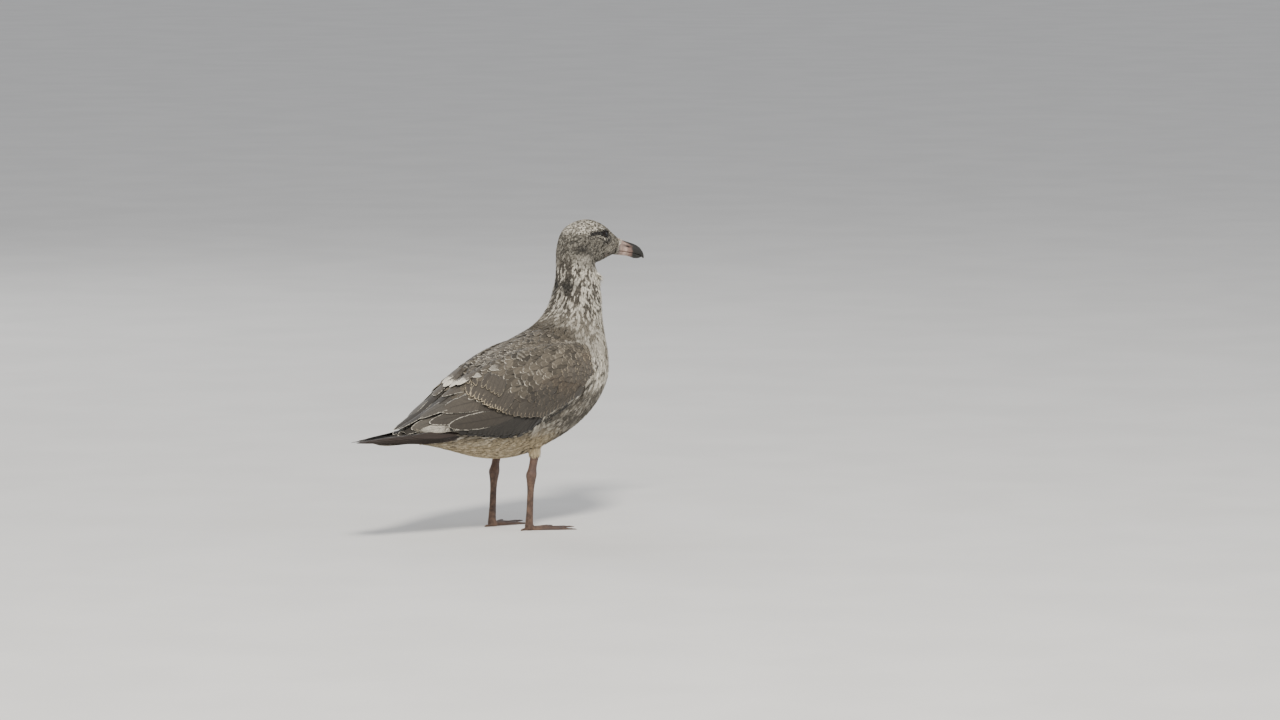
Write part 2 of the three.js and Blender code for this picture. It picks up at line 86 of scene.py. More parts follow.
# Thickness of the coat, in mm, at distances along the spine, in mm.
COAT_DEPTH = [(0, 0.7), (18, 1.1), (45, 1.6), (85, 2.6), (120, 3.4), (190, 4.2), (330, 4.2)]
COAT_DEPTH += [(SPINE_LENGTH, 2.5)]


# ==== small helpers
def box_middle(node):
    low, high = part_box(node)
    return np.array((low + high) / 2)


def smooth_step(low, high, value):
    t = np.clip((value - low) / (high - low), 0, 1)
    return t * t * (3 - 2 * t)


def unit(vectors):
    length = np.linalg.norm(vectors, axis=-1, keepdims=True)
    return vectors / np.maximum(length, 1e-12)


def dot(a, b):
    return (a * b).sum(-1, keepdims=True)


def stacked(*parts):
    """Arrays and numbers side by side along a new last axis."""
    return np.stack(np.broadcast_arrays(*parts), axis=-1)


def linear(red, green, blue):
    """A linear colour from 0-255 display values."""
    c = np.array([red, green, blue], float) / 255
    return np.where(c <= 0.04045, c / 12.92, ((c + 0.055) / 1.055) ** 2.4)


def blend(a, b, share):
    share = np.asarray(share)[..., None]
    return a * (1 - share) + b * share


def lattice(cells, seed):
    """A repeatable random number from 0 to 1 for each whole-number cell."""
    x, y, z = cells[..., 0], cells[..., 1], cells[..., 2]
    mixed = np.sin(x * 127.1 + y * 311.7 + z * 74.7 + seed * 53.3) * 43758.5453
    return mixed - np.floor(mixed)


def mottle(points, size, seed):
    """Smooth noise from 0 to 1 whose blotches are about size across."""
    scaled = points / size
    cell = np.floor(scaled)
    f = scaled - cell
    f = f * f * (3 - 2 * f)
    total = np.zeros(points.shape[:-1])
    for dx in (0, 1):
        for dy in (0, 1):
            for dz in (0, 1):
                corner = np.array([dx, dy, dz])
                weight = np.prod(np.where(corner == 1, f, 1 - f), axis=-1)
                total += weight * lattice(cell + corner, seed)
    return total


def streaks(station, angle, across, along, seed):
    """Noise from 0 to 1 drawn out down the body: the sizes of its cells, in mm, round it and down it."""
    girth = np.interp(station, [40, 90, 150, 250], [19, 22, 30, 50])
    cells = stacked(angle * girth / across, station / along, 0)
    return mottle(cells, 1.0, seed)


# ==== the spine: where a point is on the bird
class Spine:
    """A smooth line through the bird, which tells how far down it a place is, and on which side."""

    def __init__(self, knots):
        knots = np.array(knots, float) * MM
        for _ in range(3):
            middle = knots[:-1] * 0.5 + knots[1:] * 0.5
            rounded = np.empty((len(knots) * 2 - 1, 2))
            rounded[0::2] = knots
            rounded[2:-1:2] = knots[1:-1] * 0.75 + (middle[:-1] + middle[1:]) * 0.125
            rounded[1::2] = middle
            knots = rounded
        length = np.concatenate([[0], np.cumsum(np.linalg.norm(np.diff(knots, axis=0), axis=1))])
        self.at = np.linspace(0, length[-1], 160)
        self.points = np.stack([np.interp(self.at, length, knots[:, i]) for i in (0, 1)], axis=1)
        self.tangents = unit(np.gradient(self.points, axis=0))

    def place(self, points):
        """How far down the bird each point is (mm), its direction of lie, and its angle round the
        body: 0 on the back, pi under the belly, negative on the right."""
        flat = points.reshape(-1, 3)
        gap = np.linalg.norm(flat[:, None, ::2] - self.points[None], axis=2)
        nearest = gap.min(axis=1, keepdims=True)
        weight = np.exp(-((gap - nearest) ** 2 + 2 * nearest * (gap - nearest)) / (2 * SPINE_REACH**2))
        weight /= weight.sum(axis=1, keepdims=True)
        station = weight @ self.at
        tangent = unit(weight @ self.tangents)
        centre = weight @ self.points
        flow = stacked(tangent[:, 0], 0, tangent[:, 1])
        back = stacked(tangent[:, 1], -tangent[:, 0])
        height = ((flat[:, ::2] - centre) * back).sum(axis=1)
        angle = np.arctan2(flat[:, 1], height)
        shape = points.shape[:-1]
        return station.reshape(shape) / MM, flow.reshape(points.shape), angle.reshape(shape)


spine = Spine(SPINE)


def coat_depth(points):
    """Thickness of the plumage at each point, in metres."""
    station = spine.place(points)[0]
    where, depth = np.array(COAT_DEPTH).T
    thick = np.interp(station, where, depth)
    low_leg = smooth_step(96 * MM, 84 * MM, points[..., 2]) * (station > 150)
    return (thick * (1 - low_leg) + 1.6 * low_leg) * MM


# ==== surfaces
def mesh_arrays(mesh):
    points = np.empty(len(mesh.vertices) * 3)
    mesh.vertices.foreach_get("co", points)
    mesh.calc_loop_triangles()
    triangles = np.empty(len(mesh.loop_triangles) * 3, int)
    mesh.loop_triangles.foreach_get("vertices", triangles)
    return points.reshape(-1, 3), triangles.reshape(-1, 3)


def vertex_normals(points, triangles):
    corner = points[triangles]
    across = np.cross(corner[:, 1] - corner[:, 0], corner[:, 2] - corner[:, 0])
    normals = np.zeros_like(points)
    for k in range(3):
        for axis in range(3):
            normals[:, axis] += np.bincount(triangles[:, k], across[:, axis], len(points))
    return unit(normals)


def relaxed(points, triangles, rounds):
    """The points moved halfway to their neighbours' mean, so many times."""
    edges = np.concatenate([triangles[:, [0, 1]], triangles[:, [1, 2]], triangles[:, [2, 0]]])
    a, b = edges.T
    count = np.bincount(a, minlength=len(points)) + np.bincount(b, minlength=len(points))
    for _ in range(rounds):
        total = np.zeros_like(points)
        for axis in range(3):
            total[:, axis] = np.bincount(a, points[b, axis], len(points))
            total[:, axis] += np.bincount(b, points[a, axis], len(points))
        points = points + 0.5 * (total / count[:, None] - points)
    return points


def remeshed(parts, voxel):
    """One closed skin round the (points, triangles) parts: points and triangles."""
    points, triangles, start = [], [], 0
    for p, t in parts:
        points.append(p)
        triangles.append(t + start)
        start += len(p)
    mesh = bpy.data.meshes.new("parts")
    mesh.from_pydata(np.concatenate(points).tolist(), [], np.concatenate(triangles).tolist())
    holder = bpy.data.objects.new("parts", mesh)
    bpy.context.scene.collection.objects.link(holder)
    skin = holder.modifiers.new("skin", "REMESH")
    skin.mode = "VOXEL"
    skin.voxel_size = voxel
    made = holder.evaluated_get(bpy.context.evaluated_depsgraph_get()).to_mesh()
    result = mesh_arrays(made)
    bpy.data.objects.remove(holder)
    bpy.data.meshes.remove(mesh)
    return largest_shell(*result)


def largest_shell(points, triangles):
    """The part of a mesh that hangs together and has the most points."""
    label = np.arange(len(points))
    edges = np.concatenate([triangles[:, [0, 1]], triangles[:, [1, 2]]])
    while True:
        low = np.minimum(label[edges[:, 0]], label[edges[:, 1]])
        fresh = label.copy()
        np.minimum.at(fresh, edges[:, 0], low)
        np.minimum.at(fresh, edges[:, 1], low)
        fresh = fresh[fresh]
        if (fresh == label).all():
            break
        label = fresh
    keep = label == np.bincount(label).argmax()
    renumber = np.cumsum(keep) - 1
    return points[keep], renumber[triangles[keep[triangles[:, 0]]]]


def node_arrays(node, swell=0.0):
    """Points and triangles of a CAD node; if it is swollen, its points are welded first."""
    points, triangles = mesh_arrays(bpy.data.objects[node].data)
    if swell:
        welded, back = np.unique(np.round(points, 7), axis=0, return_inverse=True)
        triangles = back.reshape(-1)[triangles]
        points = welded + vertex_normals(welded, triangles) * swell
    return points, triangles


class Surface:
    """A closed mesh that points can be dropped or cast onto."""

    def __init__(self, points, triangles):
        self.points, self.triangles = points, triangles
        self.normals = vertex_normals(points, triangles)
        self.face_normals = unit(self.normals[triangles].mean(axis=1))
        self.tree = BVHTree.FromPolygons(points.tolist(), triangles.tolist())

    def drop(self, points):
        """The nearest places on the surface, and the normals there."""
        flat = points.reshape(-1, 3)
        spots = np.empty_like(flat)
        faces = np.empty(len(flat), int)
        for i, point in enumerate(flat.tolist()):
            spot, _, face, _ = self.tree.find_nearest(point)
            spots[i] = spot
            faces[i] = face
        return spots.reshape(points.shape), self.face_normals[faces].reshape(points.shape)

    def cast(self, origin, direction):
        """Where a ray meets the surface, or None."""
        spot = self.tree.ray_cast(Vector(origin), Vector(direction))[0]
        return None if spot is None else np.array(spot)

    def sample(self, count, rng):
        """Points spread evenly over the surface by area."""
        corner = self.points[self.triangles]
        area = np.linalg.norm(np.cross(corner[:, 1] - corner[:, 0], corner[:, 2] - corner[:, 0]), axis=1)
        pick = rng.choice(len(area), count, p=area / area.sum())
        u, v = rng.random((2, count, 1))
        over = u + v > 1
        u, v = np.where(over, 1 - u, u), np.where(over, 1 - v, v)
        a, b, c = (corner[pick, k] for k in range(3))
        return a + (b - a) * u + (c - a) * v


def thinned(points, spacing):
    """Which of the points to keep, in the order given, so that none is nearer than its spacing."""
    tree = KDTree(len(points))
    for i, point in enumerate(points.tolist()):
        tree.insert(point, i)
    tree.balance()
    open_ = np.ones(len(points), bool)
    kept = []
    for i, point in enumerate(points.tolist()):
        if not open_[i]:
            continue
        kept.append(i)
        for _, j, _ in tree.find_range(point, spacing[i]):
            open_[j] = False
    return np.array(kept, int)


# ==== meshes made of arrays
def make_object(name, points, quads, triangles, material, smooth=True):
    mesh = bpy.data.meshes.new(name)
    mesh.vertices.add(len(points))
    mesh.vertices.foreach_set("co", np.ascontiguousarray(points, np.float32).ravel())
    corners = np.concatenate([quads.ravel(), triangles.ravel()]).astype(np.int32)
    sizes = np.concatenate([np.full(len(quads), 4), np.full(len(triangles), 3)])
    mesh.loops.add(len(corners))
    mesh.loops.foreach_set("vertex_index", corners)
    mesh.polygons.add(len(sizes))
    mesh.polygons.foreach_set("loop_start", (np.cumsum(sizes) - sizes).astype(np.int32))
    mesh.polygons.foreach_set("use_smooth", np.full(len(sizes), smooth))
    mesh.update(calc_edges=True)
    mesh.materials.append(material)
    made = bpy.data.objects.new(name, mesh)
    bpy.context.scene.collection.objects.link(made)
    return made


def set_colour(mesh, name, values):
    layer = mesh.attributes.new(name, "FLOAT_COLOR", "POINT")
    if values.shape[1] == 3:
        values = np.concatenate([values, np.ones((len(values), 1))], axis=1)
    layer.data.foreach_set("color", np.ascontiguousarray(values, np.float32).ravel())


def set_vector(mesh, name, values):
    layer = mesh.attributes.new(name, "FLOAT_VECTOR", "POINT")
    layer.data.foreach_set("vector", np.ascontiguousarray(values, np.float32).ravel())


def set_uv(mesh, values):
    corners = np.empty(len(mesh.loops), np.int32)
    mesh.loops.foreach_get("vertex_index", corners)
    layer = mesh.uv_layers.new(name="OFBake")
    layer.data.foreach_set("uv", np.ascontiguousarray(values[corners], np.float32).ravel())


class Feathers:
    """A batch of feathers: a path over the bird for each, with the normals along it."""

    def __init__(self, path, normals, length, width):
        self.path, self.normals = path, normals
        self.length, self.width = length, width
        self.count = len(path)

    def only(self, chosen):
        return Feathers(self.path[chosen], self.normals[chosen], self.length[chosen], self.width[chosen])

    def seen(self):
        """The middle of the part of each feather that shows, on the outer surface."""
        return self.path[:, -2]

    def at(self, t):
        """Places, side directions and normals at shares t (feathers, rings) of the paths."""
        steps = self.path.shape[1]
        index = np.clip(t, 0, 1) * (steps - 1)
        low = np.minimum(index.astype(int), steps - 2)
        f = (index - low)[..., None]
        row = np.arange(self.count)[:, None]
        place = self.path[row, low] * (1 - f) + self.path[row, low + 1] * f
        along = unit(np.gradient(self.path, axis=1))
        ahead = unit(along[row, low] * (1 - f) + along[row, low + 1] * f)
        normal = unit(self.normals[row, low] * (1 - f) + self.normals[row, low + 1] * f)
        return place, unit(np.cross(normal, ahead)), normal


def marched(roots, heading, length, width, depth, lift, from_tips=False):
    """Feathers that walk over the outer surface from their roots. depth: how deep each root is under
    the surface; lift: how far the tip stands off it. from_tips: the places given are the tips', and
    the feathers are walked backwards."""
    steps = 7
    path = np.empty((len(roots), steps, 3))
    normals = np.empty_like(path)
    spot, normal = outer.drop(roots)
    ahead = unit(heading - dot(heading, normal) * normal) * (-1 if from_tips else 1)
    stride = (length / (steps - 1))[:, None]
    for k in range(steps):
        path[:, k], normals[:, k] = spot, normal
        spot, normal = outer.drop(spot + ahead * stride)
        ahead = unit(ahead - dot(ahead, normal) * normal)
    if from_tips:
        path, normals = path[:, ::-1].copy(), normals[:, ::-1].copy()
    t = np.linspace(0, 1, steps)
    depth = np.broadcast_to(depth, len(roots))
    lift = np.broadcast_to(lift, len(roots))
    height = -depth[:, None] * (1 - t) ** COMING_UP + lift[:, None] * t**2
    return Feathers(path + normals * height[..., None], normals, length, width)


def end_caps(first, last, sides):
    """Triangles over both ends of tubes, given the first point of their first and last rings."""
    fan = np.arange(1, sides - 1)
    root = stacked(first, first + fan + 1, first + fan)
    tip = stacked(last, last + fan, last + fan + 1)
    return np.concatenate([root.reshape(-1, 3), tip.reshape(-1, 3)])


class Coat:
    """Feathers joined into one mesh, with what their material needs."""

    def __init__(self):
        self.points, self.quads, self.triangles = [], [], []
        self.layers = {key: [] for key in ("tone", "hem", "spot", "lie", "root", "patch")}
        self.total = 0

    def add(self, feathers, rings, looks, cell, along, across, reach):
        """Adds closed tubes, one for each feather. rings: their points (n, R, C, 3); looks: what
        looks_of gives; cell: (n, 2) the place of each root on the unwrap. At each point, along is the
        share of the length, across goes from -1 to 1, and reach is metres from the shaft."""
        n, ring_count, sides, _ = rings.shape
        start = self.total + np.arange(n)[:, None, None] * ring_count * sides
        i = start + np.arange(ring_count - 1)[None, :, None] * sides
        j = np.arange(sides)[None, None, :]
        k = (j + 1) % sides
        self.quads.append(stacked(i + j, i + k, i + sides + k, i + sides + j).reshape(-1, 4))
        first = start[:, 0]
        self.triangles.append(end_caps(first, first + (ring_count - 1) * sides, sides))
        self.points.append(rings.reshape(-1, 3))
        run = along * feathers.length[:, None, None] / MM
        seed, bars, tone, hem = (looks[key][:, None, None] for key in ("seed", "bars", "tone", "hem"))
        values = {
            "tone": tone,
            "hem": hem,
            "spot": stacked(along, across, seed),
            "lie": stacked(run, reach / MM, bars),
            "root": cell[:, None, None],
            "patch": stacked(0.5 + 0.5 * across, along),
        }
        for key, value in values.items():
            width = value.shape[-1]
            full = np.broadcast_to(value, (n, ring_count, sides, width))
            self.layers[key].append(full.reshape(-1, width))
        self.total += n * ring_count * sides

    def build(self, name, material, nodes=(), patch=UNWRAP_PATCH):
        """patch: how much of the unwrap each feather takes, at its root's place."""
        points, quads, triangles = map(np.concatenate, (self.points, self.quads, self.triangles))
        layers = {key: np.concatenate(value) for key, value in self.layers.items()}
        made = make_object(name, points, quads, triangles, material)
        for key in ("tone", "hem"):
            set_colour(made.data, key, layers[key])
        for key in ("spot", "lie"):
            set_vector(made.data, key, layers[key])
        root = layers["root"]
        low, high = root.min(axis=0), root.max(axis=0)
        room = 1 - 2 * UNWRAP_EDGE - patch
        set_uv(made.data, UNWRAP_EDGE + room * (root - low) / (high - low) + patch * layers["patch"])
        finish_piece(made, nodes)
        print(f"{name}: {len(made.data.loop_triangles)} triangles")


def finish_piece(made, nodes=()):
    made.data.calc_loop_triangles()
    if nodes:
        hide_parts(*nodes)
    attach(made, "root")


def unwrap(roots):
    """Places on a cylindrical unwrap of the skin: angle round the body by distance along it."""
    station, _, angle = spine.place(roots)
    return stacked(angle / (2 * math.pi) + 0.5, station / SPINE_LENGTH)


def in_cells(count, columns):
    """Places in a grid of cells, for feathers big enough to have one each."""
    index = np.arange(count)
    return stacked(index % columns, index // columns).astype(float)


# ---------------------------------------------------------------- two kinds of feather
def plumes(coat, feathers, looks, cell, rng, blades, rings, jag=0.16, curve=22 * MM, thick=0.16 * MM):
    """Soft feathers: each is a fan of narrow overlapping blades that part at the tip. jag: how
    uneven the blades' lengths are; curve: the radius of the feather's cross-section; thick: how
    far the ridge of each blade stands up."""
    n = feathers.count
    t = np.linspace(0, 1, rings) ** 0.9
    width = feathers.width[:, None] / 2
    body = np.minimum(1, (t + 0.12) ** 0.6) * np.sqrt(np.clip(1 - t**2.6, 0, 1))
    body[-1] = 0.04
    for b in range(blades):
        lane = -1 + 2 * b / (blades - 1) + rng.uniform(-0.12, 0.12, n)
        reach = 1 - 0.22 * lane**2 - rng.random(n) * jag
        share = t[None] * reach[:, None]
        place, side, normal = feathers.at(share)
        fan = (t**0.75)[None] * FAN
        centre = lane[:, None] * width * fan
        half = width * (1.55 / blades) * body[None] * (1 + 0.25 * rng.random((n, 1)))
        sag = rng.uniform(0.0, 0.35 * MM, (n, 1))
        rings_ = np.empty((n, rings, 3, 3))
        across = np.empty((n, rings, 3))
        for c, (offset, up) in enumerate(((-1, 0), (0, 1), (1, 0))):
            x = centre + half * offset
            height = up * thick * body - x**2 / (2 * curve) - sag * t * abs(lane[:, None])
            rings_[:, :, c] = place + side * x[..., None] + normal * height[..., None]
            across[:, :, c] = x / width
        reach = across * width[:, :, None]
        coat.add(feathers, rings_, looks, cell, share[:, :, None], np.clip(across, -1, 1), reach)


def vane_outline(t, tip, root):
    """Half width of a vane at shares t of its length: widens over root, and rounds off from tip on."""
    widen = np.clip((t + 0.03) / root, 0, 1) ** 0.6
    past = np.clip((t - tip) / (1 - tip), 0, 1)
    return widen * np.sqrt(np.clip(1 - past**2, 0, 1))


def vanes(
    coat, feathers, looks, cell, rng, columns, rings,
    tip=0.5, root=0.35, camber=0.1, thick=0.25 * MM, jag=0.1,
):
    """Firm feathers: one closed vane each, cambered across, with a shaft and a slightly worn edge.
    root, tip: shares of the length where a vane is full and where it starts to round off; camber:
    how far its edges drop, as a share of half its width; jag: how worn they are."""
    n = feathers.count
    t = 1 - (1 - np.linspace(0, 1, rings)) ** 1.7
    share = np.broadcast_to(t, (n, rings))
    place, side, normal = feathers.at(share)
    outline = vane_outline(t, tip, root)
    outline[-1] = 0.12
    top = np.linspace(-1, 1, columns)
    lanes = np.concatenate([top, top[-2:0:-1]])
    below = np.concatenate([np.zeros(columns), np.ones(columns - 2)])
    wear = 1 - jag * rng.random((n, rings, 2)) * (t > 0.3)[None, :, None]
    half = feathers.width[:, None] / 2 * outline[None]
    rings_ = np.empty((n, rings, len(lanes), 3))
    reach = np.empty((n, rings, len(lanes)))
    for c, (lane, under) in enumerate(zip(lanes, below)):
        worn = wear[:, :, 0] if lane < 0 else wear[:, :, 1]
        x = lane * half * (worn if abs(lane) > 0.9 else 1)
        drop = camber * half * lane**2
        shaft = 0.35 * thick if abs(lane) < 0.05 else 0
        up = shaft - drop - under * thick * (1 - lane**2)
        rings_[:, :, c] = place + side * x[..., None] + normal * up[..., None]
        reach[:, :, c] = x
    coat.add(feathers, rings_, looks, cell, share[:, :, None], lanes, reach)


# ==== node materials
class Nodes:
    """Short words for building a node material."""

    def __init__(self, name):
        self.material = bpy.data.materials.new(name)
        self.material.use_nodes = True
        self.tree = self.material.node_tree
        self.shader = self.tree.nodes["Principled BSDF"]

    def node(self, kind, **settings):
        made = self.tree.nodes.new(kind)
        for key, value in settings.items():
            setattr(made, key, value)
        return made

    def link(self, source, target):
        self.tree.links.new(source, target)

    def put(self, socket, value):
        if isinstance(value, bpy.types.NodeSocket):
            self.link(value, socket)
        else:
            socket.default_value = value

    def attribute(self, name, output="Vector"):
        return self.node("ShaderNodeAttribute", attribute_name=name).outputs[output]

    def split(self, vector):
        made = self.node("ShaderNodeSeparateXYZ")
        self.link(vector, made.inputs[0])
        return made.outputs

    def join(self, x, y, z):
        made = self.node("ShaderNodeCombineXYZ")
        for socket, value in zip(made.inputs, (x, y, z)):
            self.put(socket, value)
        return made.outputs[0]

    def math(self, operation, a, b=0.0, clamp=False):
        made = self.node("ShaderNodeMath", operation=operation, use_clamp=clamp)
        self.put(made.inputs[0], a)
        self.put(made.inputs[1], b)
        return made.outputs[0]

    def times(self, a, b, clamp=False):
        return self.math("MULTIPLY", a, b, clamp)

    def plus(self, a, b):
        return self.math("ADD", a, b)

    def minus(self, a, b):
        return self.math("SUBTRACT", a, b)

    def place(self):
        """The place in the object's own frame, in metres."""
        return self.node("ShaderNodeTexCoord").outputs["Object"]

    def ramp(self, value, low, high, start=0.0, end=1.0):
        """A smooth step of value from low to high, giving start to end."""
        made = self.node("ShaderNodeMapRange", interpolation_type="SMOOTHSTEP")
        for socket, number in zip(made.inputs, (value, low, high, start, end)):
            self.put(socket, number)
        return made.outputs[0]

    def mix(self, share, a, b, mode="MIX"):
        made = self.node("ShaderNodeMix", data_type="RGBA", blend_type=mode)
        self.put(made.inputs[0], share)
        self.put(made.inputs[6], a)
        self.put(made.inputs[7], b)
        return made.outputs[2]

    def shaded(self, colour, light):
        """The colour made brighter or darker by a factor."""
        return self.mix(1.0, colour, self.join(light, light, light), "MULTIPLY")

    def noise(self, vector, scale, detail=2.0, roughness=0.5):
        made = self.node("ShaderNodeTexNoise")
        self.put(made.inputs["Vector"], vector)
        self.put(made.inputs["Scale"], scale)
        self.put(made.inputs["Detail"], detail)
        self.put(made.inputs["Roughness"], roughness)
        return made.outputs[0]

    def bump(self, height, strength, distance):
        made = self.node("ShaderNodeBump")
        self.put(made.inputs["Strength"], strength)
        self.put(made.inputs["Distance"], distance)
        self.put(made.inputs["Height"], height)
        self.link(made.outputs[0], self.shader.inputs["Normal"])

    def surface(self, colour, roughness, **constants):
        """The material, given its colour, its roughness and other inputs of its shader."""
        self.put(self.shader.inputs["Base Color"], colour)
        self.put(self.shader.inputs["Roughness"], roughness)
        for key, value in constants.items():
            self.shader.inputs[key.replace("_", " ")].default_value = value
        return self.material


def feather_material(name, fringe, shaft=0.0, gloss=0.0, streak=0.24, sides=(0.2, 0.55), ragged=4.0):
    """Feather colour from the tone and hem that each feather carries, drawn with barbs, a fringe,
    bars and a shaft by the place on the feather. fringe: its width in mm; sides: the shares of the
    length over which the fringe of the two sides comes in; ragged: how uneven the fringe is."""
    m = Nodes(name)
    along, across, seed = m.split(m.attribute("spot"))
    run, reach, bars = m.split(m.attribute("lie"))
    tone = m.attribute("tone", "Color")
    hem_node = m.node("ShaderNodeAttribute", attribute_name="hem")
    off = m.math("ABSOLUTE", across)
    aside = m.math("ABSOLUTE", reach)
    slant = m.minus(run, m.times(aside, 0.9))
    shift = m.times(seed, 37.0)
    barbs = m.noise(m.join(m.times(slant, 1.9), m.times(reach, 0.25), shift), 1.0, 3.0, 0.6)
    clumps = m.noise(m.join(m.times(slant, 0.45), m.times(reach, 0.2), shift), 1.0, 1.0)
    wander = m.times(m.minus(clumps, 0.5), 0.3)
    tiny = 1e-4  # keeps the two divisions from dividing by nothing
    half = m.math("DIVIDE", aside, m.plus(off, tiny))
    to_side = m.times(half, m.minus(1.0, off))
    to_side = m.plus(to_side, m.ramp(along, sides[0], sides[1], 3.0 * fringe, 0.0))
    whole = m.math("DIVIDE", run, m.plus(along, tiny))
    to_tip = m.plus(m.minus(whole, run), m.ramp(along, 0.55, 0.2, 0.0, 3.0 * fringe))
    to_edge = m.plus(m.math("MINIMUM", to_side, to_tip), m.times(wander, ragged * fringe))
    edge = m.times(m.ramp(to_edge, fringe, 0.4 * fringe), hem_node.outputs["Alpha"])
    wave = m.math("SINE", m.plus(m.times(m.plus(run, m.times(wander, 5.0)), 1.05), seed))
    bar = m.times(m.times(m.ramp(wave, 0.1, 0.7), bars), m.ramp(along, 0.35, 0.6))
    end = m.plus(along, m.times(wander, 1.6))
    end = m.plus(end, m.times(m.minus(barbs, 0.5), 0.7))
    end = m.times(m.ramp(end, 0.5, 0.72), m.times(bars, -1.0), clamp=True)
    pale = m.math("MAXIMUM", m.math("MAXIMUM", edge, bar), end, clamp=True)
    colour = m.mix(pale, tone, hem_node.outputs["Color"])
    light = m.ramp(barbs, 0.25, 0.75, 1.0 - streak, 1.0 + streak)
    colour = m.shaded(colour, light)
    if shaft:
        line = m.times(m.ramp(off, 0.1, 0.02), m.ramp(along, 0.97, 0.8))
        colour = m.mix(m.times(line, shaft), colour, (0.012, 0.009, 0.007, 1.0))
    m.bump(barbs, 0.5, 0.25 * MM)
    rough = m.ramp(barbs, 0.2, 0.8, 0.72 - gloss, 0.9 - gloss)
    return m.surface(colour, rough, Specular_IOR_Level=0.3, Sheen_Weight=0.12, Sheen_Roughness=0.5)


# ==== the marks of a first-year bird, and painted light on its crown and belly
EYE = {side: box_middle(f"eye_{side}") for side in SIDES}
EYE_RADIUS = (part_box("eye_right")[1].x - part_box("eye_right")[0].x) / 2

TONES = {
    # the crown's pale tone holds painted light from above as well as its own pale flecks
    "crown": linear(160, 153, 139),
    "cheek": linear(84, 80, 71),
    "mask": linear(30, 28, 25),
    "gape": linear(150, 128, 118),
    "white": linear(226, 219, 203),
    "neck": linear(84, 78, 69),
    "nape": linear(40, 38, 33),
    "mantle": linear(84, 77, 66),
    "buff": linear(186, 171, 143),
    "breast": linear(136, 128, 114),
    "flank": linear(92, 86, 76),
    # partly the belly's own cream, partly painted warm bounce light from the ground
    "belly": linear(190, 172, 138),
    "covert": linear(74, 68, 60),
    "fleck": linear(146, 134, 115),
    "panel": linear(46, 43, 39),
    "flight": linear(44, 34, 28),
}


def from_eye(points, side):
    """Distance of points from the middle of an eye, counted mostly along the head's side."""
    return np.linalg.norm((points - EYE[side]) * [1, 0.3, 1], axis=-1)


def beside_eye(points):
    """x and z of points from the eye's middle, in mm."""
    x = (points[..., 0] - EYE["right"][0]) / MM
    z = (points[..., 2] - EYE["right"][2]) / MM
    return x, z


def near_spot(points, spot, size):
    """1 at a place x, z (mm) on the bird's side, fading to 0 about size (x, z) away from it."""
    x = (points[..., 0] / MM - spot[0]) / size[0]
    z = (points[..., 2] / MM - spot[1]) / size[1]
    return np.exp(-(x**2) - z**2)


def face_marks(points):
    """How dark the mask round and behind the eye is at each point, from 0 to 1."""
    x, z = beside_eye(points)
    below = 1.1 * np.exp(-(((x - 1.5) / 7) ** 2) - ((z + 4) / 9) ** 2)
    streak = 2.0 - 0.03 * np.minimum(x + 14, 0) ** 2
    behind = 1.2 * np.exp(-(((z - streak) / 2.6) ** 2)) * smooth_step(-30, -20, x) * smooth_step(7, 1, x)
    front = 0.8 * np.exp(-(((x - 5.5) / 3.4) ** 2) - (z / 7) ** 2)
    return np.clip(below + behind + front, 0, 1)


def lower_crescent(points):
    """1 on the pale feathers that line the lower half of the eye's lids."""
    x, z = beside_eye(points)
    away = np.hypot(x, z)
    return np.exp(-(((away - 6.0) / 0.9) ** 2)) * smooth_step(0.2, 0.7, -z / np.maximum(away, 0.1))


EAR_PATCH = ((106, 315.0), (10, 5.0))  # x, z of its middle and its size in mm
NAPE_PATCH = ((92, 271.5), (9, 8.5))
NAPE_SIDE = (9.5, 8.5)  # how far the nape patch lies from the middle of the back, and its size, mm
PALE_PATCH = ((109, 303.5), (8, 4.0))
GAPE = ((149, 307), (5, 2.2))


def head_tone(points, up, luck):
    """Grey-brown face and nape under a pale flecked crown, with the dark mask and ear patch. The crown's
    paleness is partly its own pale flecks and partly painted light falling on the top of the head.
    """
    x, z = points[:, 0] / MM, points[:, 2] / MM
    # crown: 1 on the top of the head, made pale partly by its own flecks and partly as painted light from
    # above
    crown = smooth_step(328, 338, z + 0.09 * (x - 129))
    lores = smooth_step(140, 146, x) * smooth_step(308, 314, z)
    fleck = smooth_step(0.45, 0.6, luck)
    tone = blend(TONES["cheek"], TONES["crown"], 0.15 + 0.75 * np.maximum(crown, lores))
    tone = tone * (1 - 0.5 * smooth_step(0.3, 0.1, luck))[:, None]
    tone = blend(tone, TONES["white"], fleck * (0.14 + 0.1 * smooth_step(112, 95, x) + 0.75 * crown))
    tone = blend(tone, TONES["gape"], 0.75 * near_spot(points, *GAPE))
    chin = smooth_step(-0.3, -0.85, up) * smooth_step(118, 140, x)
    tone = blend(tone, TONES["crown"] * 0.8, 0.7 * chin)
    tone = blend(tone, TONES["mask"] * 1.4, 0.85 * near_spot(points, *EAR_PATCH))
    tone = blend(tone, TONES["white"] * 0.8, 0.7 * near_spot(points, *PALE_PATCH))
    tone = blend(tone, TONES["mask"], face_marks(points))
    return blend(tone, TONES["white"] * 0.9, 0.85 * lower_crescent(points))


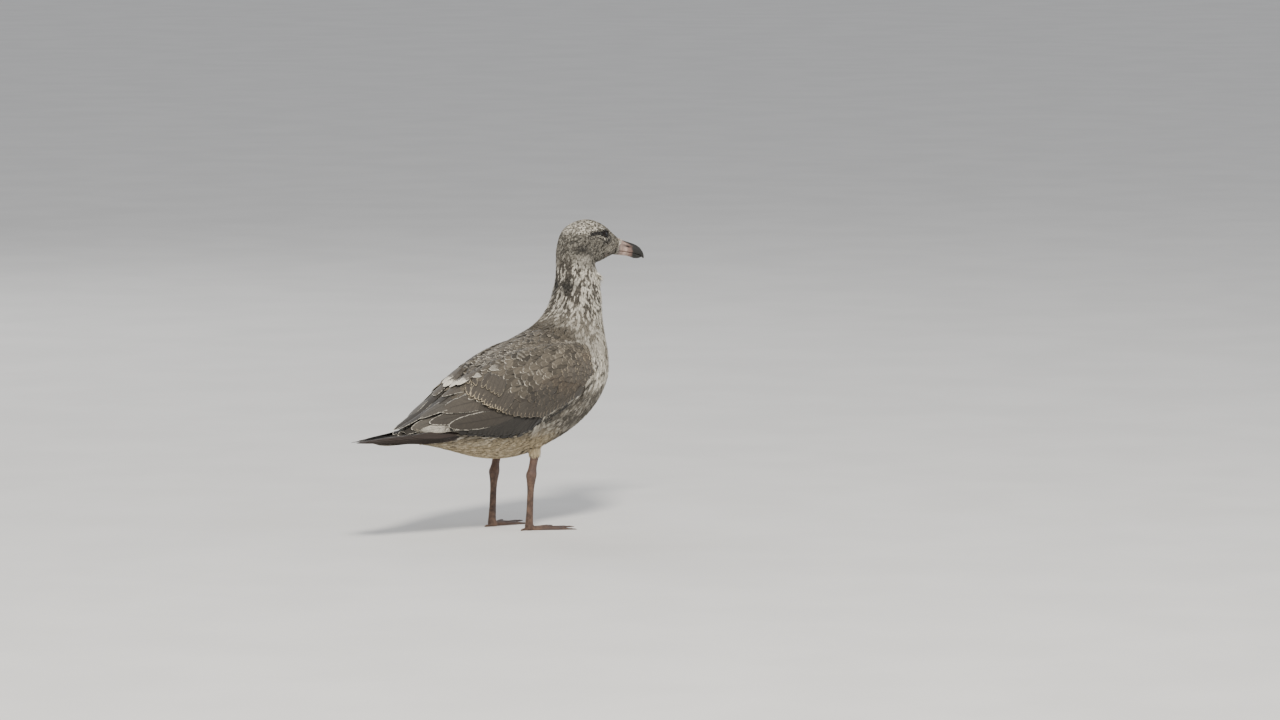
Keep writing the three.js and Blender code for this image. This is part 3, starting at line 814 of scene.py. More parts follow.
def neck_tone(points, station, angle, up, below, luck):
    """Bold whitish streaks on grey-brown, closer in front, with a dark patch low on the nape."""
    streak = streaks(station, angle, 2.1, 7.5, 3) * 0.55 + luck * 0.45
    streak = streak + 0.07 * below - 0.07 * smooth_step(0.5, 0.95, up)
    low = smooth_step(124, 150, station)
    white = smooth_step(0.43, 0.56, streak)
    base = blend(TONES["neck"], TONES["breast"] * 0.8, low)
    tone = blend(base, TONES["white"], white * (0.88 - 0.34 * low))
    tone = blend(tone, TONES["white"] * 0.8, 0.7 * near_spot(points, *PALE_PATCH))
    dark = near_spot(points, *NAPE_PATCH) * (1.0 + 0.5 * luck)
    dark = dark * np.exp(-(((np.abs(points[:, 1]) / MM - NAPE_SIDE[0]) / NAPE_SIDE[1]) ** 2))
    return blend(tone, TONES["nape"] * 1.15, np.minimum(1, dark))


def under_tone(points, station, angle, luck):
    """Pale breast front, streaked grey flank, cream belly, whose warm brightness low down is partly its own
    buff and partly painted warm light bounced up from the ground.
    """
    x, z = points[:, 0] / MM, points[:, 2] / MM
    streak = streaks(station, angle, 2.2, 13.0, 6) * 0.5 + luck * 0.5
    front = smooth_step(84, 104, x) * smooth_step(142, 182, z)
    # belly: 1 low on the body, where the cream is partly its own buff and partly painted warm bounce light
    # from the ground
    belly = smooth_step(120, 100, z) * smooth_step(72, 32, x)
    pale = TONES["breast"] * (0.75 + 0.5 * front)[:, None]
    tone = blend(TONES["flank"], pale, smooth_step(0.3, 0.55, streak))
    tone = blend(tone, TONES["belly"] * (0.70 + 0.4 * streak[:, None]), belly)
    white = smooth_step(0.50, 0.68, streak) * (0.4 + 0.6 * front)
    white = white + 0.95 * front * smooth_step(0.2, 0.4, streak)
    return blend(tone, TONES["white"], np.clip(white, 0, 0.95) * (1 - 0.6 * belly))


def markings(points, rng):
    """Tone and hem of body feathers rooted at the points: (n, 3) and (n, 4), hem strength last."""
    count = len(points)
    station, _, angle = spine.place(points)
    up = np.cos(angle)
    head = smooth_step(80, 64, station)
    on_back = 16 * smooth_step(0.2, 0.8, up)
    neck = smooth_step(64, 80, station) * smooth_step(190, 160, station + on_back)
    below = smooth_step(0.25, -0.45, up)
    luck = rng.random(count)

    mantle = TONES["mantle"] * (0.7 + 0.5 * mottle(points, 12 * MM, 3) + 0.5 * luck)[:, None]
    tone = blend(mantle, under_tone(points, station, angle, luck), smooth_step(0.2, -0.1, up))
    tone = blend(tone, neck_tone(points, station, angle, up, below, luck), neck)
    tone = blend(tone, head_tone(points, up, luck), head)
    tone = tone * (0.93 + 0.14 * rng.random((count, 1)))

    strength = 0.12 + 0.35 * smooth_step(0.4, 0.9, rng.random(count))
    strength = strength * (1 - 0.5 * head)
    pale = blend(TONES["buff"], TONES["white"], np.maximum(neck, below) * 0.7)
    return tone, np.column_stack([pale, strength])


def looks_of(tone, hem, rng, bars=0.0):
    """What a coat needs to know of its feathers' colours; bars: how strong the bars are across
    each feather or, as a negative number, how white its outer end is."""
    count = len(tone)
    return dict(tone=tone, hem=hem, seed=rng.random(count), bars=np.broadcast_to(bars, count).astype(float))


# ==== camera, light and floor
CAMERA_HEADING = -42  # degrees: the camera looks at the bird's right side, from behind its shoulder
CAMERA_HEIGHT = 6  # degrees above the horizon
CAMERA_DISTANCE = 7.0
FRAME_WIDTH = 1.472  # metres across the picture at the bird
BIRD_RIGHT, BIRD_DOWN = 0.1489, 0.1932  # from UNDER_BIRD to the picture's middle
UNDER_BIRD = (0.01285, 0, 0)
LIGHT_AIM = (0, 0, 0.18)
FLOOR_REACH = 12.0


def placed(name, data, spot, look):
    """A camera or light at a spot that looks in a direction."""
    made = bpy.data.objects.new(name, data)
    made.location = spot
    made.rotation_mode = "QUATERNION"
    made.rotation_quaternion = look.to_track_quat("-Z", "Y")
    bpy.context.scene.collection.objects.link(made)
    return made


def place_camera():
    a, e = math.radians(CAMERA_HEADING), math.radians(CAMERA_HEIGHT)
    right = Vector((math.cos(a), math.sin(a), 0))
    back = Vector((math.sin(a) * math.cos(e), -math.cos(a) * math.cos(e), math.sin(e)))
    up = back.cross(right)
    spot = Vector(UNDER_BIRD) + right * BIRD_RIGHT + up * BIRD_DOWN + back * CAMERA_DISTANCE
    data = bpy.data.cameras.new("camera")
    data.sensor_width = 36
    data.lens = data.sensor_width * CAMERA_DISTANCE / FRAME_WIDTH
    data.clip_end = 60
    bpy.context.scene.camera = placed("camera", data, spot, -back)


def area_light(name, place, size, power, colour):
    data = bpy.data.lights.new(name, "AREA")
    data.shape = "DISK"
    data.size = size
    data.energy = power
    data.color = colour
    placed(name, data, place, Vector(LIGHT_AIM) - Vector(place))


def studio():
    m = Nodes("studio_floor")
    coordinates = m.place()
    speckle = m.noise(coordinates, 6.0, 4.0)
    shade = m.ramp(speckle, 0.3, 0.7, 0.66, 0.70)
    m.bump(m.noise(coordinates, 220.0), 0.08, 0.2 * MM)
    paint = m.surface(m.join(shade, m.times(shade, 0.985), m.times(shade, 0.95)), 0.75)
    corners = np.array([[-1, -1, 0], [1, -1, 0], [1, 1, 0], [-1, 1, 0]]) * FLOOR_REACH
    floor = make_object("floor", corners, np.array([[0, 1, 2, 3]]), NO_TRIANGLES, paint, False)
    world = bpy.data.worlds.new("studio")
    world.use_nodes = True
    background = world.node_tree.nodes["Background"]
    background.inputs["Color"].default_value = (0.93, 0.95, 1.0, 1)
    background.inputs["Strength"].default_value = 0.62
    bpy.context.scene.world = world
    area_light("key", (-1.6, -2.0, 3.2), 0.8, 185, (1.0, 0.96, 0.89))
    area_light("fill", (2.6, -2.2, 1.4), 2.5, 28, (0.95, 0.98, 1.0))
    area_light("back", (0.6, 2.8, 2.0), 2.0, 30, (1, 1, 1))


# ==== the skin and the outer surface
def outer_surface():
    """The closed surface of the bird's plumage, which the feathers lie along."""
    parts = [node_arrays(node, SEAM) for node in FLESH]
    parts += [node_arrays(f"eye_{side}") for side in SIDES]
    points, triangles = remeshed(parts, SKIN_VOXEL)
    points = relaxed(points, triangles, 8)
    points = points - vertex_normals(points, triangles) * SEAM * 0.5
    return Surface(points, triangles)


def skin_material():
    m = Nodes("down_and_skin")
    coordinates = m.place()
    fluff = m.noise(coordinates, 900.0, 4.0, 0.65)
    shade = m.ramp(fluff, 0.3, 0.7, 0.75, 1.15)
    colour = m.shaded(m.attribute("tone", "Color"), shade)
    m.bump(fluff, 0.6, 0.4 * MM)
    return m.surface(colour, 0.9, Specular_IOR_Level=0.2)


def build_skin():
    """The skin, which lies as deep under the outer surface as the coat is thick."""
    rng = np.random.default_rng(SEED["skin"])
    depth = coat_depth(outer.points) + 0.25 * MM
    points = outer.points - outer.normals * depth[:, None]
    points = relaxed(points, outer.triangles, 6)
    skin = make_object("skin", points, NO_QUADS, outer.triangles, skin_material())
    tone, _ = markings(outer.points, rng)
    set_colour(skin.data, "tone", tone * 0.8)
    finish_piece(skin, FLESH)


def along_line(line, shares):
    """x, z at shares of the way along a line of points."""
    rows = np.array(line, float)
    reach = np.concatenate([[0], np.cumsum(np.linalg.norm(np.diff(rows, axis=0), axis=1))])
    where = np.asarray(shares) * reach[-1]
    return stacked(np.interp(where, reach, rows[:, 0]), np.interp(where, reach, rows[:, 1]))


def side_spots(places, sign):
    """The places on the outer surface that are seen from the bird's side at x, z places (mm)."""
    spots = []
    for x, z in places:
        spot = outer.cast((x * MM, sign * 0.2, z * MM), (0, -sign, 0))
        spots.append(np.array([x * MM, sign * 4 * MM, z * MM]) if spot is None else spot)
    return np.array(spots)


# ==== zones of the plumage
SHOULDER_X = 86  # mm, of the folded wing's upper front corner
COVERTS_END = -76  # mm; behind this the wing has no small feathers
WING_NEAR = 1.6  # mm from the wing's shell within which a place belongs to the wing
COVERT_TIPS = [(60, 152), (40, 143), (12, 133.5), (-20, 136), (-52, 144.5), (-66, 151), (-76, 161)]
COVERT_LIMIT = [(60, 152), (40, 143), (12, 133.5), (-20, 136), (-44, 149), (-60, 163), (-76, 175)]
PANEL_TIPS = [(52, 138), (28, 126), (6, 118), (-14, 112.5), (-45, 113.5), (-84, 118.5), (-106, 125)]
SCAPULAR_EDGE = [(90, 205), (50, 186), (10, 170), (-25, 168), (-60, 172), (-85, 163), (-150, 128)]


def height_of(line, x):
    """z (mm) of a line of x, z points at x (mm)."""
    rows = np.array(sorted(line))
    return np.interp(x, rows[:, 0], rows[:, 1])


def wing_distance(points):
    """How far each point is from the CAD shell of the wing on its own side, in mm."""
    far = np.full(len(points), 99.0)
    for side, sign in SIDES.items():
        node_points, triangles = node_arrays(f"wing_{side}")
        tree = BVHTree.FromPolygons(node_points.tolist(), triangles.tolist())
        for i in np.flatnonzero(points[:, 1] * sign > -2 * MM):
            found = tree.find_nearest(points[i].tolist(), 12 * MM)
            if found[0] is not None:
                far[i] = min(far[i], found[3] / MM)
    return far


def zones(points, station, angle):
    """The name of the plumage zone of each point."""
    x, z = points[:, 0] / MM, points[:, 2] / MM
    wing = wing_distance(points) < WING_NEAR
    name = np.full(len(points), "under", dtype="U9")
    name[np.cos(angle) > 0.25] = "back"
    name[station < NECK_END] = "neck"
    name[station < HEAD_END] = "head"
    name[wing] = "covert"
    name[wing & (z > height_of(SCAPULAR_EDGE, x))] = "scapular"
    low = (z < height_of(COVERT_TIPS, x) + 1) & (z < height_of(SCAPULAR_EDGE, x))
    name[wing & (low | (x < COVERTS_END))] = "panel"
    return name


# ==== soft body plumage
# For each zone: where it starts and ends along the spine, then at its start and at its end the roots'
# spacing, the feathers' length and their width, then the blades and rings of each feather, the
# radius of its cross-section and its thickness. All lengths are in mm.
SOFT_ZONES = {
    "head": ((0, HEAD_END), (0.9, 1.75), (2.8, 9.5), (1.6, 3.6), 5, 4, 9, 0.09),
    "neck": ((HEAD_END, NECK_END), (1.5, 2.15), (11, 17), (2.7, 4.2), 4, 5, 22, 0.14),
    "under": ((NECK_END, SPINE_LENGTH), (2.35, 3.3), (17, 24), (5.4, 8.0), 4, 4, 22, 0.14),
}
EYE_CLEAR = 4.6 * MM  # feathers keep this far from the middle of the eye
WEDGE_REACH = 10.5  # mm that the feathers run out along the bill's ridge
EYE_RIM = 1.0 * MM  # how far the feathers round the eye rise to meet its lids


def eye_rise(path):
    """How far the feathers round an eye stand off the surface at each point of their paths."""
    rise = sum(smooth_step(10.5 * MM, 5.0 * MM, from_eye(path, side)) for side in SIDES)
    return EYE_RIM * rise[..., None]


def scattered(zone, name, spacing):
    """Roots chosen in a zone of the sampled outer surface."""
    chosen = np.flatnonzero(zone == name)
    return chosen[thinned(sample["points"][chosen], spacing[chosen])]


def soft_plumage():
    """The coats of head, neck and underparts, with the feathers that close their edges."""
    rng = np.random.default_rng(SEED["soft"])
    points, station, flow = sample["points"], sample["station"], sample["flow"]
    wanted = sample["zone"].copy()
    for side in SIDES:
        wanted[from_eye(points, side) < EYE_CLEAR] = "eye"
    for name, ((start, end), *sizes, blades, rings, curve, thick) in SOFT_ZONES.items():
        share = np.clip((station - start) / (end - start), 0, 1)
        spacing, long, wide = ((first + (last - first) * share) * MM for first, last in sizes)
        every = scattered(wanted, name, spacing)
        for side, sign in SIDES.items():
            chosen = every[points[every, 1] * sign > 0]
            roots = points[chosen]
            count = len(roots)
            thigh = thigh_share(roots, station[chosen])
            length = long[chosen] * rng.uniform(0.85, 1.2, count) * (1 - 0.5 * thigh)
            width = wide[chosen] * rng.uniform(0.85, 1.15, count) * (1 - 0.5 * thigh)
            heading = flow[chosen] + rng.normal(0, 0.08, (count, 3))
            heading = blend(heading, np.array([-0.15, 0, -1.0]), thigh)
            depth = coat_depth(roots)
            lift = rng.uniform(-0.1, 0.35, count) * MM * np.clip(depth / (4 * MM), 0.15, 1.2)
            if name == "neck":  # its upper part is fuller
                lift = lift + 1.1 * MM * smooth_step(246 * MM, 262 * MM, roots[:, 2])
            feathers = marched(roots, heading, length, width, depth, lift)
            # a feather whose tip has gone round a sharp edge is left out
            flat = dot(feathers.normals[:, 0], feathers.normals[:, -1])[:, 0] > 0.45
            feathers, roots = feathers.only(flat), roots[flat]
            tone, hem = markings(feathers.seen(), rng)
            if name == "head":
                feathers.path += feathers.normals * eye_rise(feathers.path)
            coat = Coat()
            looks = looks_of(tone, hem, rng)
            shape = dict(curve=curve * MM, thick=thick * MM)
            plumes(coat, feathers, looks, unwrap(roots), rng, blades, rings, **shape)
            if name == "head":
                bill_root_feathers(coat, sign, rng)
            if name == "neck":
                throat_tuft(coat, sign, rng)
            if name == "under":
                flank_plumes(coat, sign, rng)
                collar(coat, sign, rng)
                garter(coat, side, rng)
            coat.build(f"coat_{name}_{side}", SOFT)


def thigh_share(roots, station):
    """1 for roots on the feathered thighs, 0 elsewhere."""
    share = smooth_step(99 * MM, 88 * MM, roots[:, 2]) * (station > NECK_END)
    for side, sign in SIDES.items():
        near = np.linalg.norm((roots - box_middle(f"thigh_{side}"))[:, :2], axis=1)
        share = np.where(roots[:, 1] * sign > 0, share * smooth_step(17 * MM, 9 * MM, near), share)
    return share


def dressed(coat, feathers, roots, rng, blades, white=0.0, rim=0.0, **shape):
    """Adds plumes coloured by where they are seen, then whitened and given a pale rim. white: a
    share for each feather, or the range it is drawn from; rim: the least strength of its hem."""
    tone, hem = markings(feathers.seen(), rng)
    if isinstance(white, tuple):
        white = rng.uniform(*white, feathers.count)
    tone = blend(tone, TONES["white"], np.broadcast_to(white, feathers.count))
    hem[:, 3] = np.maximum(hem[:, 3], rim)
    plumes(coat, feathers, looks_of(tone, hem, rng), unwrap(roots), rng, blades, 5, **shape)


def throat_tuft(coat, sign, rng):
    """The ruffled pale feathers that stand out from the front of the throat."""
    count = 100
    z = rng.uniform(281, 294, count)
    turn = rng.uniform(0, 1.1, count)
    roots, normals = outer.drop(stacked(117 + 25 * np.cos(turn), sign * 24 * np.sin(turn), z) * MM)
    heading = np.array([0, 0, -1.0]) + normals * 0.2 + rng.normal(0, 0.06, (count, 3))
    length = rng.uniform(9, 14, count) * MM
    width = rng.uniform(3.6, 5.2, count) * MM
    standing = (1 + 8.0 * np.exp(-(((z - 291) / 5) ** 2))) * rng.uniform(0.6, 1.1, count) * MM
    feathers = marched(roots, heading, length, width, 1.6 * MM, standing)
    dressed(coat, feathers, roots, rng, 4, white=(0.4, 0.95), jag=0.3)


# x, z in mm of the edges where the plumes of the breast's side and flank lie over the folded wing
FLANK_EDGE = [(88, 157), (81, 153.5), (63, 148), (45, 142.5), (30, 137), (20, 131), (15, 122), (4, 111)]
BREAST_EDGE = [(101, 177), (94, 173), (84, 167), (76, 161)]
COLLAR_EDGE = [(60, 212), (72, 211.5), (85, 209), (89, 203), (90.5, 193), (91, 183), (94, 176)]


def edge_plumes(coat, line, sign, rng, count, length, tips_down, turn, white):
    """Feathers laid down a line that runs back over the wing, their tips near it: how far the tips
    are below it, the turn toward the wing in degrees, and how white they are."""
    t = rng.uniform(0, 1, count)
    spots = along_line(line, t)
    ahead = along_line(line, np.minimum(t + 0.04, 1)) - along_line(line, np.maximum(t - 0.04, 0))
    x, z = unit(ahead).T
    a = np.radians(turn) * rng.uniform(0.6, 1.4, count)
    way = stacked(x * np.cos(a) + z * np.sin(a), 0, z * np.cos(a) - x * np.sin(a))
    below = rng.uniform(*tips_down, count)
    spots[:, 1] -= below
    length = rng.uniform(*length, count)
    places = side_spots(spots, sign)
    lift = rng.uniform(0.8, 2.0, count) * MM
    width = rng.uniform(5, 7.5, count) * MM
    feathers = marched(places, way, length * MM, width, 2.6 * MM, lift, from_tips=True)
    edge = np.exp(-((below - tips_down[0]) / 2.5) ** 2)
    dressed(coat, feathers, places, rng, 5, white=white * edge, rim=0.8 * edge, jag=0.2)


def flank_plumes(coat, sign, rng):
    """The breast's side and flank bulge over the wing's lower front edge, with a pale rim."""
    for line, *batch in (
        (FLANK_EDGE, 190, (17, 30), (0.5, 14), -9, 0.0),
        (FLANK_EDGE, 60, (16, 24), (-1.0, 1.5), -7, 0.85),
        (BREAST_EDGE, 60, (12, 20), (0, 9), -9, 0.2),
        (BREAST_EDGE, 14, (10, 15), (-1.0, 1.0), -7, 0.6),
    ):
        edge_plumes(coat, line, sign, rng, *batch)


def collar(coat, sign, rng):
    """The last feathers of the neck's side, whose pale tips lie over the wing's front."""
    count = 90
    spots = along_line(COLLAR_EDGE, rng.uniform(0, 1, count)) + rng.normal(0, 0.9, (count, 2))
    x, z = unit(stacked(-0.42 + rng.normal(0, 0.1, count), -1.0)).T
    length = rng.uniform(11, 16, count)
    places = side_spots(spots, sign)
    way = stacked(x, 0.1 * sign, z)
    lift = rng.uniform(0.3, 1.2, count) * MM
    width = rng.uniform(4.0, 5.5, count) * MM
    feathers = marched(places, way, length * MM, width, 2.4 * MM, lift, from_tips=True)
    dressed(coat, feathers, places, rng, 4, white=(0.0, 0.4), rim=0.7, jag=0.2)


def bridged(starts, out, ends, end_out, width, stand):
    """Straight short feathers from places on one surface to places on another, with the normals at
    both; stand: how far they rise over the joint."""
    t = np.linspace(0, 1, 6)[None, :, None]
    path = starts[:, None] * (1 - t) + ends[:, None] * t
    normals = unit(out[:, None] * (1 - t) + end_out[:, None] * t)
    path = path + normals * stand * (0.4 * t + 2.4 * t * (1 - t))
    return Feathers(path, normals, np.linalg.norm(ends - starts, axis=1), width)


def garter(coat, side, rng):
    """Short feathers of the thigh that hang over the top of the bare leg."""
    leg = node_arrays(f"leg_{side}")[0]
    top = leg[leg[:, 2] > leg[:, 2].max() - 1 * MM]
    middle = top.mean(axis=0)
    radius = np.linalg.norm((top - middle)[:, :2], axis=1).max()
    count = 110
    turn = rng.uniform(0, 2 * math.pi, count)
    out = stacked(np.cos(turn), np.sin(turn), 0)
    above, below = rng.uniform(2.0, 8.0, count), rng.uniform(0.5, 7.5, count)
    starts, start_out = outer.drop(middle + out * 7 * MM + [0, 0, MM] * above[:, None])
    ends = middle + out * (radius + 0.35 * MM) - [0, 0, MM] * below[:, None]
    width = rng.uniform(2.0, 3.1, count) * MM
    feathers = bridged(starts - start_out * 1.2 * MM, start_out, ends, out, width, 0.8 * MM)
    dressed(coat, feathers, starts, rng, 4, jag=0.3, thick=0.12 * MM)


def bill_root_feathers(coat, sign, rng):
    """Short feathers over the joint of bill and face, and a pointed patch of them along the ridge, whose
    whiteness is partly pale feathering and partly a painted highlight along the ridge.
    """
    horn = Surface(*node_arrays("bill_upper"))
    low, high = horn.points.min(axis=0) / MM, horn.points.max(axis=0) / MM
    middle, tall = (low[2] + high[2]) / 2, (high[2] - low[2]) / 2 + 1
    round_the_root, on_the_ridge = 190, 330
    turn = np.linspace(0.04, math.pi - 0.1, round_the_root) + rng.normal(0, 0.02, round_the_root)
    ahead = rng.uniform(0.1, 1.3, round_the_root)
    border = stacked(low[0] + ahead, sign * 9 * np.sin(turn), middle + tall * np.cos(turn))
    share = rng.uniform(0, 1, on_the_ridge) ** 0.8
    reach = WEDGE_REACH * share
    drop = rng.uniform(0, 1, on_the_ridge) * (8.0 * (1 - share) + 1.2)
    top = np.interp(reach, [0, WEDGE_REACH], [high[2], high[2] - 2.6])
    wedge = stacked(low[0] + reach, sign * np.minimum(0.3 + 1.6 * drop, 9), top - drop + 0.6)
    aim = np.concatenate([border, wedge]) * MM
    count = len(aim)
    lower = Surface(*node_arrays("bill_lower"))
    starts, out = horn.drop(aim)
    other, other_out = lower.drop(aim)
    nearer = np.linalg.norm(other - aim, axis=1) < np.linalg.norm(starts - aim, axis=1)
    starts[nearer], out[nearer] = other[nearer], other_out[nearer]
    length = rng.uniform(3.6, 4.8, count)
    way = np.array([-1.0, 0, 0.04]) + rng.normal(0, 0.13, (count, 3)) * [0, 1, 1]
    target = starts + way * length[:, None] * MM
    on_face = starts[:, 0] / MM - length < low[0] + 0.6
    ends, end_out = horn.drop(target)
    face_ends, face_out = outer.drop(target)
    ends[on_face], end_out[on_face] = face_ends[on_face], face_out[on_face]
    width = rng.uniform(1.1, 1.7, count) * MM
    feathers = bridged(starts - out * 0.1 * MM, out, ends, end_out, width, 0.35 * MM)
    tone, hem = markings(feathers.seen(), rng)
    # the ridge's patch is whitened partly as pale feathering and partly as a painted highlight along the top
    # of the bill's root; the feathers high up are paler too, partly painted light from above as on the crown
    pale = np.concatenate([np.zeros(round_the_root), rng.uniform(0.35, 0.9, on_the_ridge)])
    high_up = smooth_step(low[2] + 16, low[2] + 21, starts[:, 2] / MM)
    pale = np.maximum(pale, 0.6 * high_up * rng.uniform(0.4, 1, count))
    looks = looks_of(blend(tone, TONES["white"], pale), hem, rng)
    plumes(coat, feathers, looks, unwrap(starts), rng, 3, 4, curve=9 * MM, thick=0.09 * MM)


# ==== small firm feathers
def kept_above(line, roots, way, length):
    """Lengths cut so that the tips stay above a line of x, z points (mm) along the wing."""
    run = unit(way)
    for _ in range(3):
        tips = (roots[:, 0] + run[:, 0] * length) / MM
        room = (roots[:, 2] / MM - height_of(line, tips)) / np.maximum(-run[:, 2], 0.2)
        length = np.minimum(length, np.maximum(room, 0) * MM)
    return length


def vane_zone(name, label, sizes, heading, depth, look, rings=7):
    """Firm feathers scattered over a zone, one piece each side. sizes: spacing, length and width in
    mm at the sampled points; heading: directions there; look gives tone, hem and bars."""
    rng = np.random.default_rng(sum(map(ord, label)))
    spacing, length, width = (np.broadcast_to(size, len(heading)) * MM for size in sizes)
    every = scattered(sample["zone"], name, spacing)
    for side, sign in SIDES.items():
        chosen = every[sample["points"][every, 1] * sign > 0]
        size = rng.uniform(0.88, 1.14, len(chosen))
        turned = heading[chosen] + rng.normal(0, 0.07, (len(chosen), 3))
        long = length[chosen] * size
        if name == "covert":
            long = kept_above(COVERT_LIMIT, sample["points"][chosen], turned, long)
        room = long > 6 * MM
        chosen, size, turned, long = chosen[room], size[room], turned[room], long[room]
        roots = sample["points"][chosen]
        lift = rng.uniform(-0.1, 0.3, len(chosen)) * MM
        feathers = marched(roots, turned, long, width[chosen] * size, depth * MM, lift)
        tone, hem, bars = look(feathers.seen(), rng)
        coat = Coat()
        looks = looks_of(tone, hem, rng, bars)
        vanes(coat, feathers, looks, unwrap(roots), rng, 5, rings, thick=0.16 * MM, jag=0.2)
        coat.build(f"{label}_{side}", FIRM, patch=0.006)


def covert_look(roots, rng):
    """Grey-brown, paler and more flecked toward the shoulder, plainer and darker low down."""
    count = len(roots)
    x, z = roots[:, 0] / MM, roots[:, 2] / MM
    patch = mottle(roots, 13 * MM, 5)
    high = smooth_step(150, 200, z)
    shade = 0.46 + 0.30 * patch + 0.40 * rng.random(count) + 0.46 * high
    tone = TONES["covert"] * shade[:, None]
    warm = smooth_step(0.45, 0.75, mottle(roots, 20 * MM, 9)) * smooth_step(148, 166, z)
    tone = tone * blend(np.ones(3), np.array([1.06, 0.98, 0.88]), warm)
    luck = rng.random(count)
    strength = 0.10 + 0.20 * rng.random(count) + (0.25 + 0.55 * high) * smooth_step(0.45, 0.85, luck)
    spotted = smooth_step(20, -10, x) * smooth_step(0.9, 0.97, rng.random(count))
    strength = np.maximum(strength, 0.7 * spotted)
    pale = blend(TONES["fleck"] * np.ones((count, 1)), TONES["buff"], np.maximum(0.6 * spotted, 0.5 * high))
    return tone, np.column_stack([pale, strength]), 0.0


def back_look(roots, rng):
    """Dark grey-brown centres and uneven pale edges, most on the rear scapulars."""
    count = len(roots)
    station = spine.place(roots)[0]
    tone = TONES["mantle"] * (0.25 + 0.5 * mottle(roots, 9 * MM, 4) + 0.8 * rng.random(count))[:, None]
    rear = smooth_step(225, 300, station)
    strength = 0.15 + 0.3 * rng.random(count) + (0.5 + 0.4 * rear) * smooth_step(0.4, 0.7, rng.random(count))
    pale = blend(TONES["fleck"], TONES["white"], 0.2 + 0.5 * rear)
    return tone, np.column_stack([pale, strength]), 0.25 * (rng.random(count) > 0.8)


def firm_plumage():
    """Wing coverts, scapulars and back, their feathers growing toward the rear."""
    points = sample["points"]
    rear = np.clip((SHOULDER_X - points[:, 0] / MM) / 160, 0, 1)
    sign = np.sign(points[:, 1])
    sizes = (3.3 + 2.0 * rear, 12 + 13 * rear, 7.0 + 4.5 * rear)
    way = stacked(-0.93, 0, -0.30 - 0.30 * rear)
    vane_zone("covert", "wing_coverts", sizes, way, 1.6, covert_look)
    sizes = (4.2 + 3.2 * rear, 17 + 19 * rear, 9.5 + 6 * rear)
    way = stacked(-1.0, 0.16 * sign, -0.30)
    vane_zone("scapular", "scapulars", sizes, way, 1.9, back_look, rings=8)
    way = sample["flow"] + stacked(0, 0.10 * sign, 0)
    vane_zone("back", "back_feathers", (3.5, 16.5, 8.5), way, 2.4, back_look)


# ==== big feathers in rows
def laid(starts, ends, widths, layers, steps=12, bow=0.0):
    """Stiff feathers from start to end places, laid on the outer surface at heights (mm) that grow
    from root to tip. layers: (n, 2) heights of the root and of the tip; bow: how much higher the
    middle stands (mm)."""
    t = np.linspace(0, 1, steps)[None, :, None]
    path = starts[:, None] * (1 - t) + ends[:, None] * t
    spots, normals = outer.drop(path)
    gap = np.linalg.norm(spots - path, axis=2, keepdims=True)
    off = smooth_step(5 * MM, 11 * MM, gap)
    path = spots * (1 - off) + path * off
    for _ in range(6):
        path[:, 1:-1] = (path[:, :-2] + 2 * path[:, 1:-1] + path[:, 2:]) / 4
        normals[:, 1:-1] = (normals[:, :-2] + 2 * normals[:, 1:-1] + normals[:, 2:]) / 4
    height = layers[:, :1] * (1 - t[..., 0]) + layers[:, 1:] * t[..., 0] + bow * np.sin(math.pi * t[..., 0])
    length = np.linalg.norm(ends - starts, axis=1)
    return Feathers(path + unit(normals) * (height * MM)[..., None], unit(normals), length, widths)


def row_of(line, count, length, width, slope, layers, spread, sign, rng):
    """One row of feathers whose tips lie on a line, each over the next one toward the tail."""
    shares = np.linspace(*spread, count)
    tips = along_line(line, shares)
    tips = tips + rng.normal(0, 0.5, (count, 2))
    tilt = np.radians(np.linspace(*slope, count) + rng.normal(0, 3, count))
    length = length * rng.uniform(0.95, 1.05, count)
    roots = tips + stacked(np.cos(tilt), np.sin(tilt)) * length[:, None]
    starts, ends = side_spots(roots, sign), side_spots(tips, sign)
    step = np.linspace(0.5, 0, count)[:, None]
    heights = np.array(layers, float)[None] + step * [0.3, 1.0]
    return laid(starts, ends, width * MM * rng.uniform(0.95, 1.05, count), heights)


def row_looks(count, tone, hem, strength, rng, bars=0.0, vary=0.12):
    """Looks of feathers of one tone, which vary by a share of it, and one hem."""
    tones = tone * (1 - vary + 2 * vary * rng.random((count, 1)))
    hems = np.concatenate([np.tile(hem, (count, 1)), np.full((count, 1), strength)], axis=1)
    return looks_of(tones, hems, rng, bars)


SECONDARY_TIPS = [(x, z + 3) for x, z in PANEL_TIPS]
REAR_TIPS = [(-44, 143), (-60, 149.5), (-77, 162)]
UPPER_REAR_TIPS = [(-46, 160), (-58, 168), (-72, 176)]

# Rows of big wing feathers: the plain lower wing with the pale line above it, and the rows at the
# rear whose pale edges show as slanting lines. Each row: the line of its tips, how many feathers,
# their length and width (mm), their slope in degrees below the horizontal, first and last, heights
# of root and tip over the surface (mm), the shares of the line that it covers, its tone and how
# bright that is, its edge's tone, and how strong the edge is, first and last.
WING_ROWS = [
    (PANEL_TIPS, 14, 58, 15, (34, 18), (-2.5, 0.0), (0.12, 1), "panel", 0.8, "covert", (0.2, 0.2)),
    (SECONDARY_TIPS, 26, 42, 10, (48, 28), (-1.8, 0.5), (0, 0.86), "panel", 1.0, "covert", (0.25, 0.25)),
    (COVERT_TIPS, 24, 24, 9.5, (34, 36), (-0.8, 0.8), (0, 0.86), "covert", 0.75, "fleck", (0.65, 0.65)),
]
LINED_ROWS = [
    (REAR_TIPS, 13, 34, 9, (52, 42), (-0.8, 2.2), (0, 1), "covert", 0.9, "buff", (0.5, 1.1)),
    (UPPER_REAR_TIPS, 8, 24, 8, (52, 42), (0.0, 1.8), (0, 1), "covert", 0.9, "buff", (0.3, 0.66)),
]


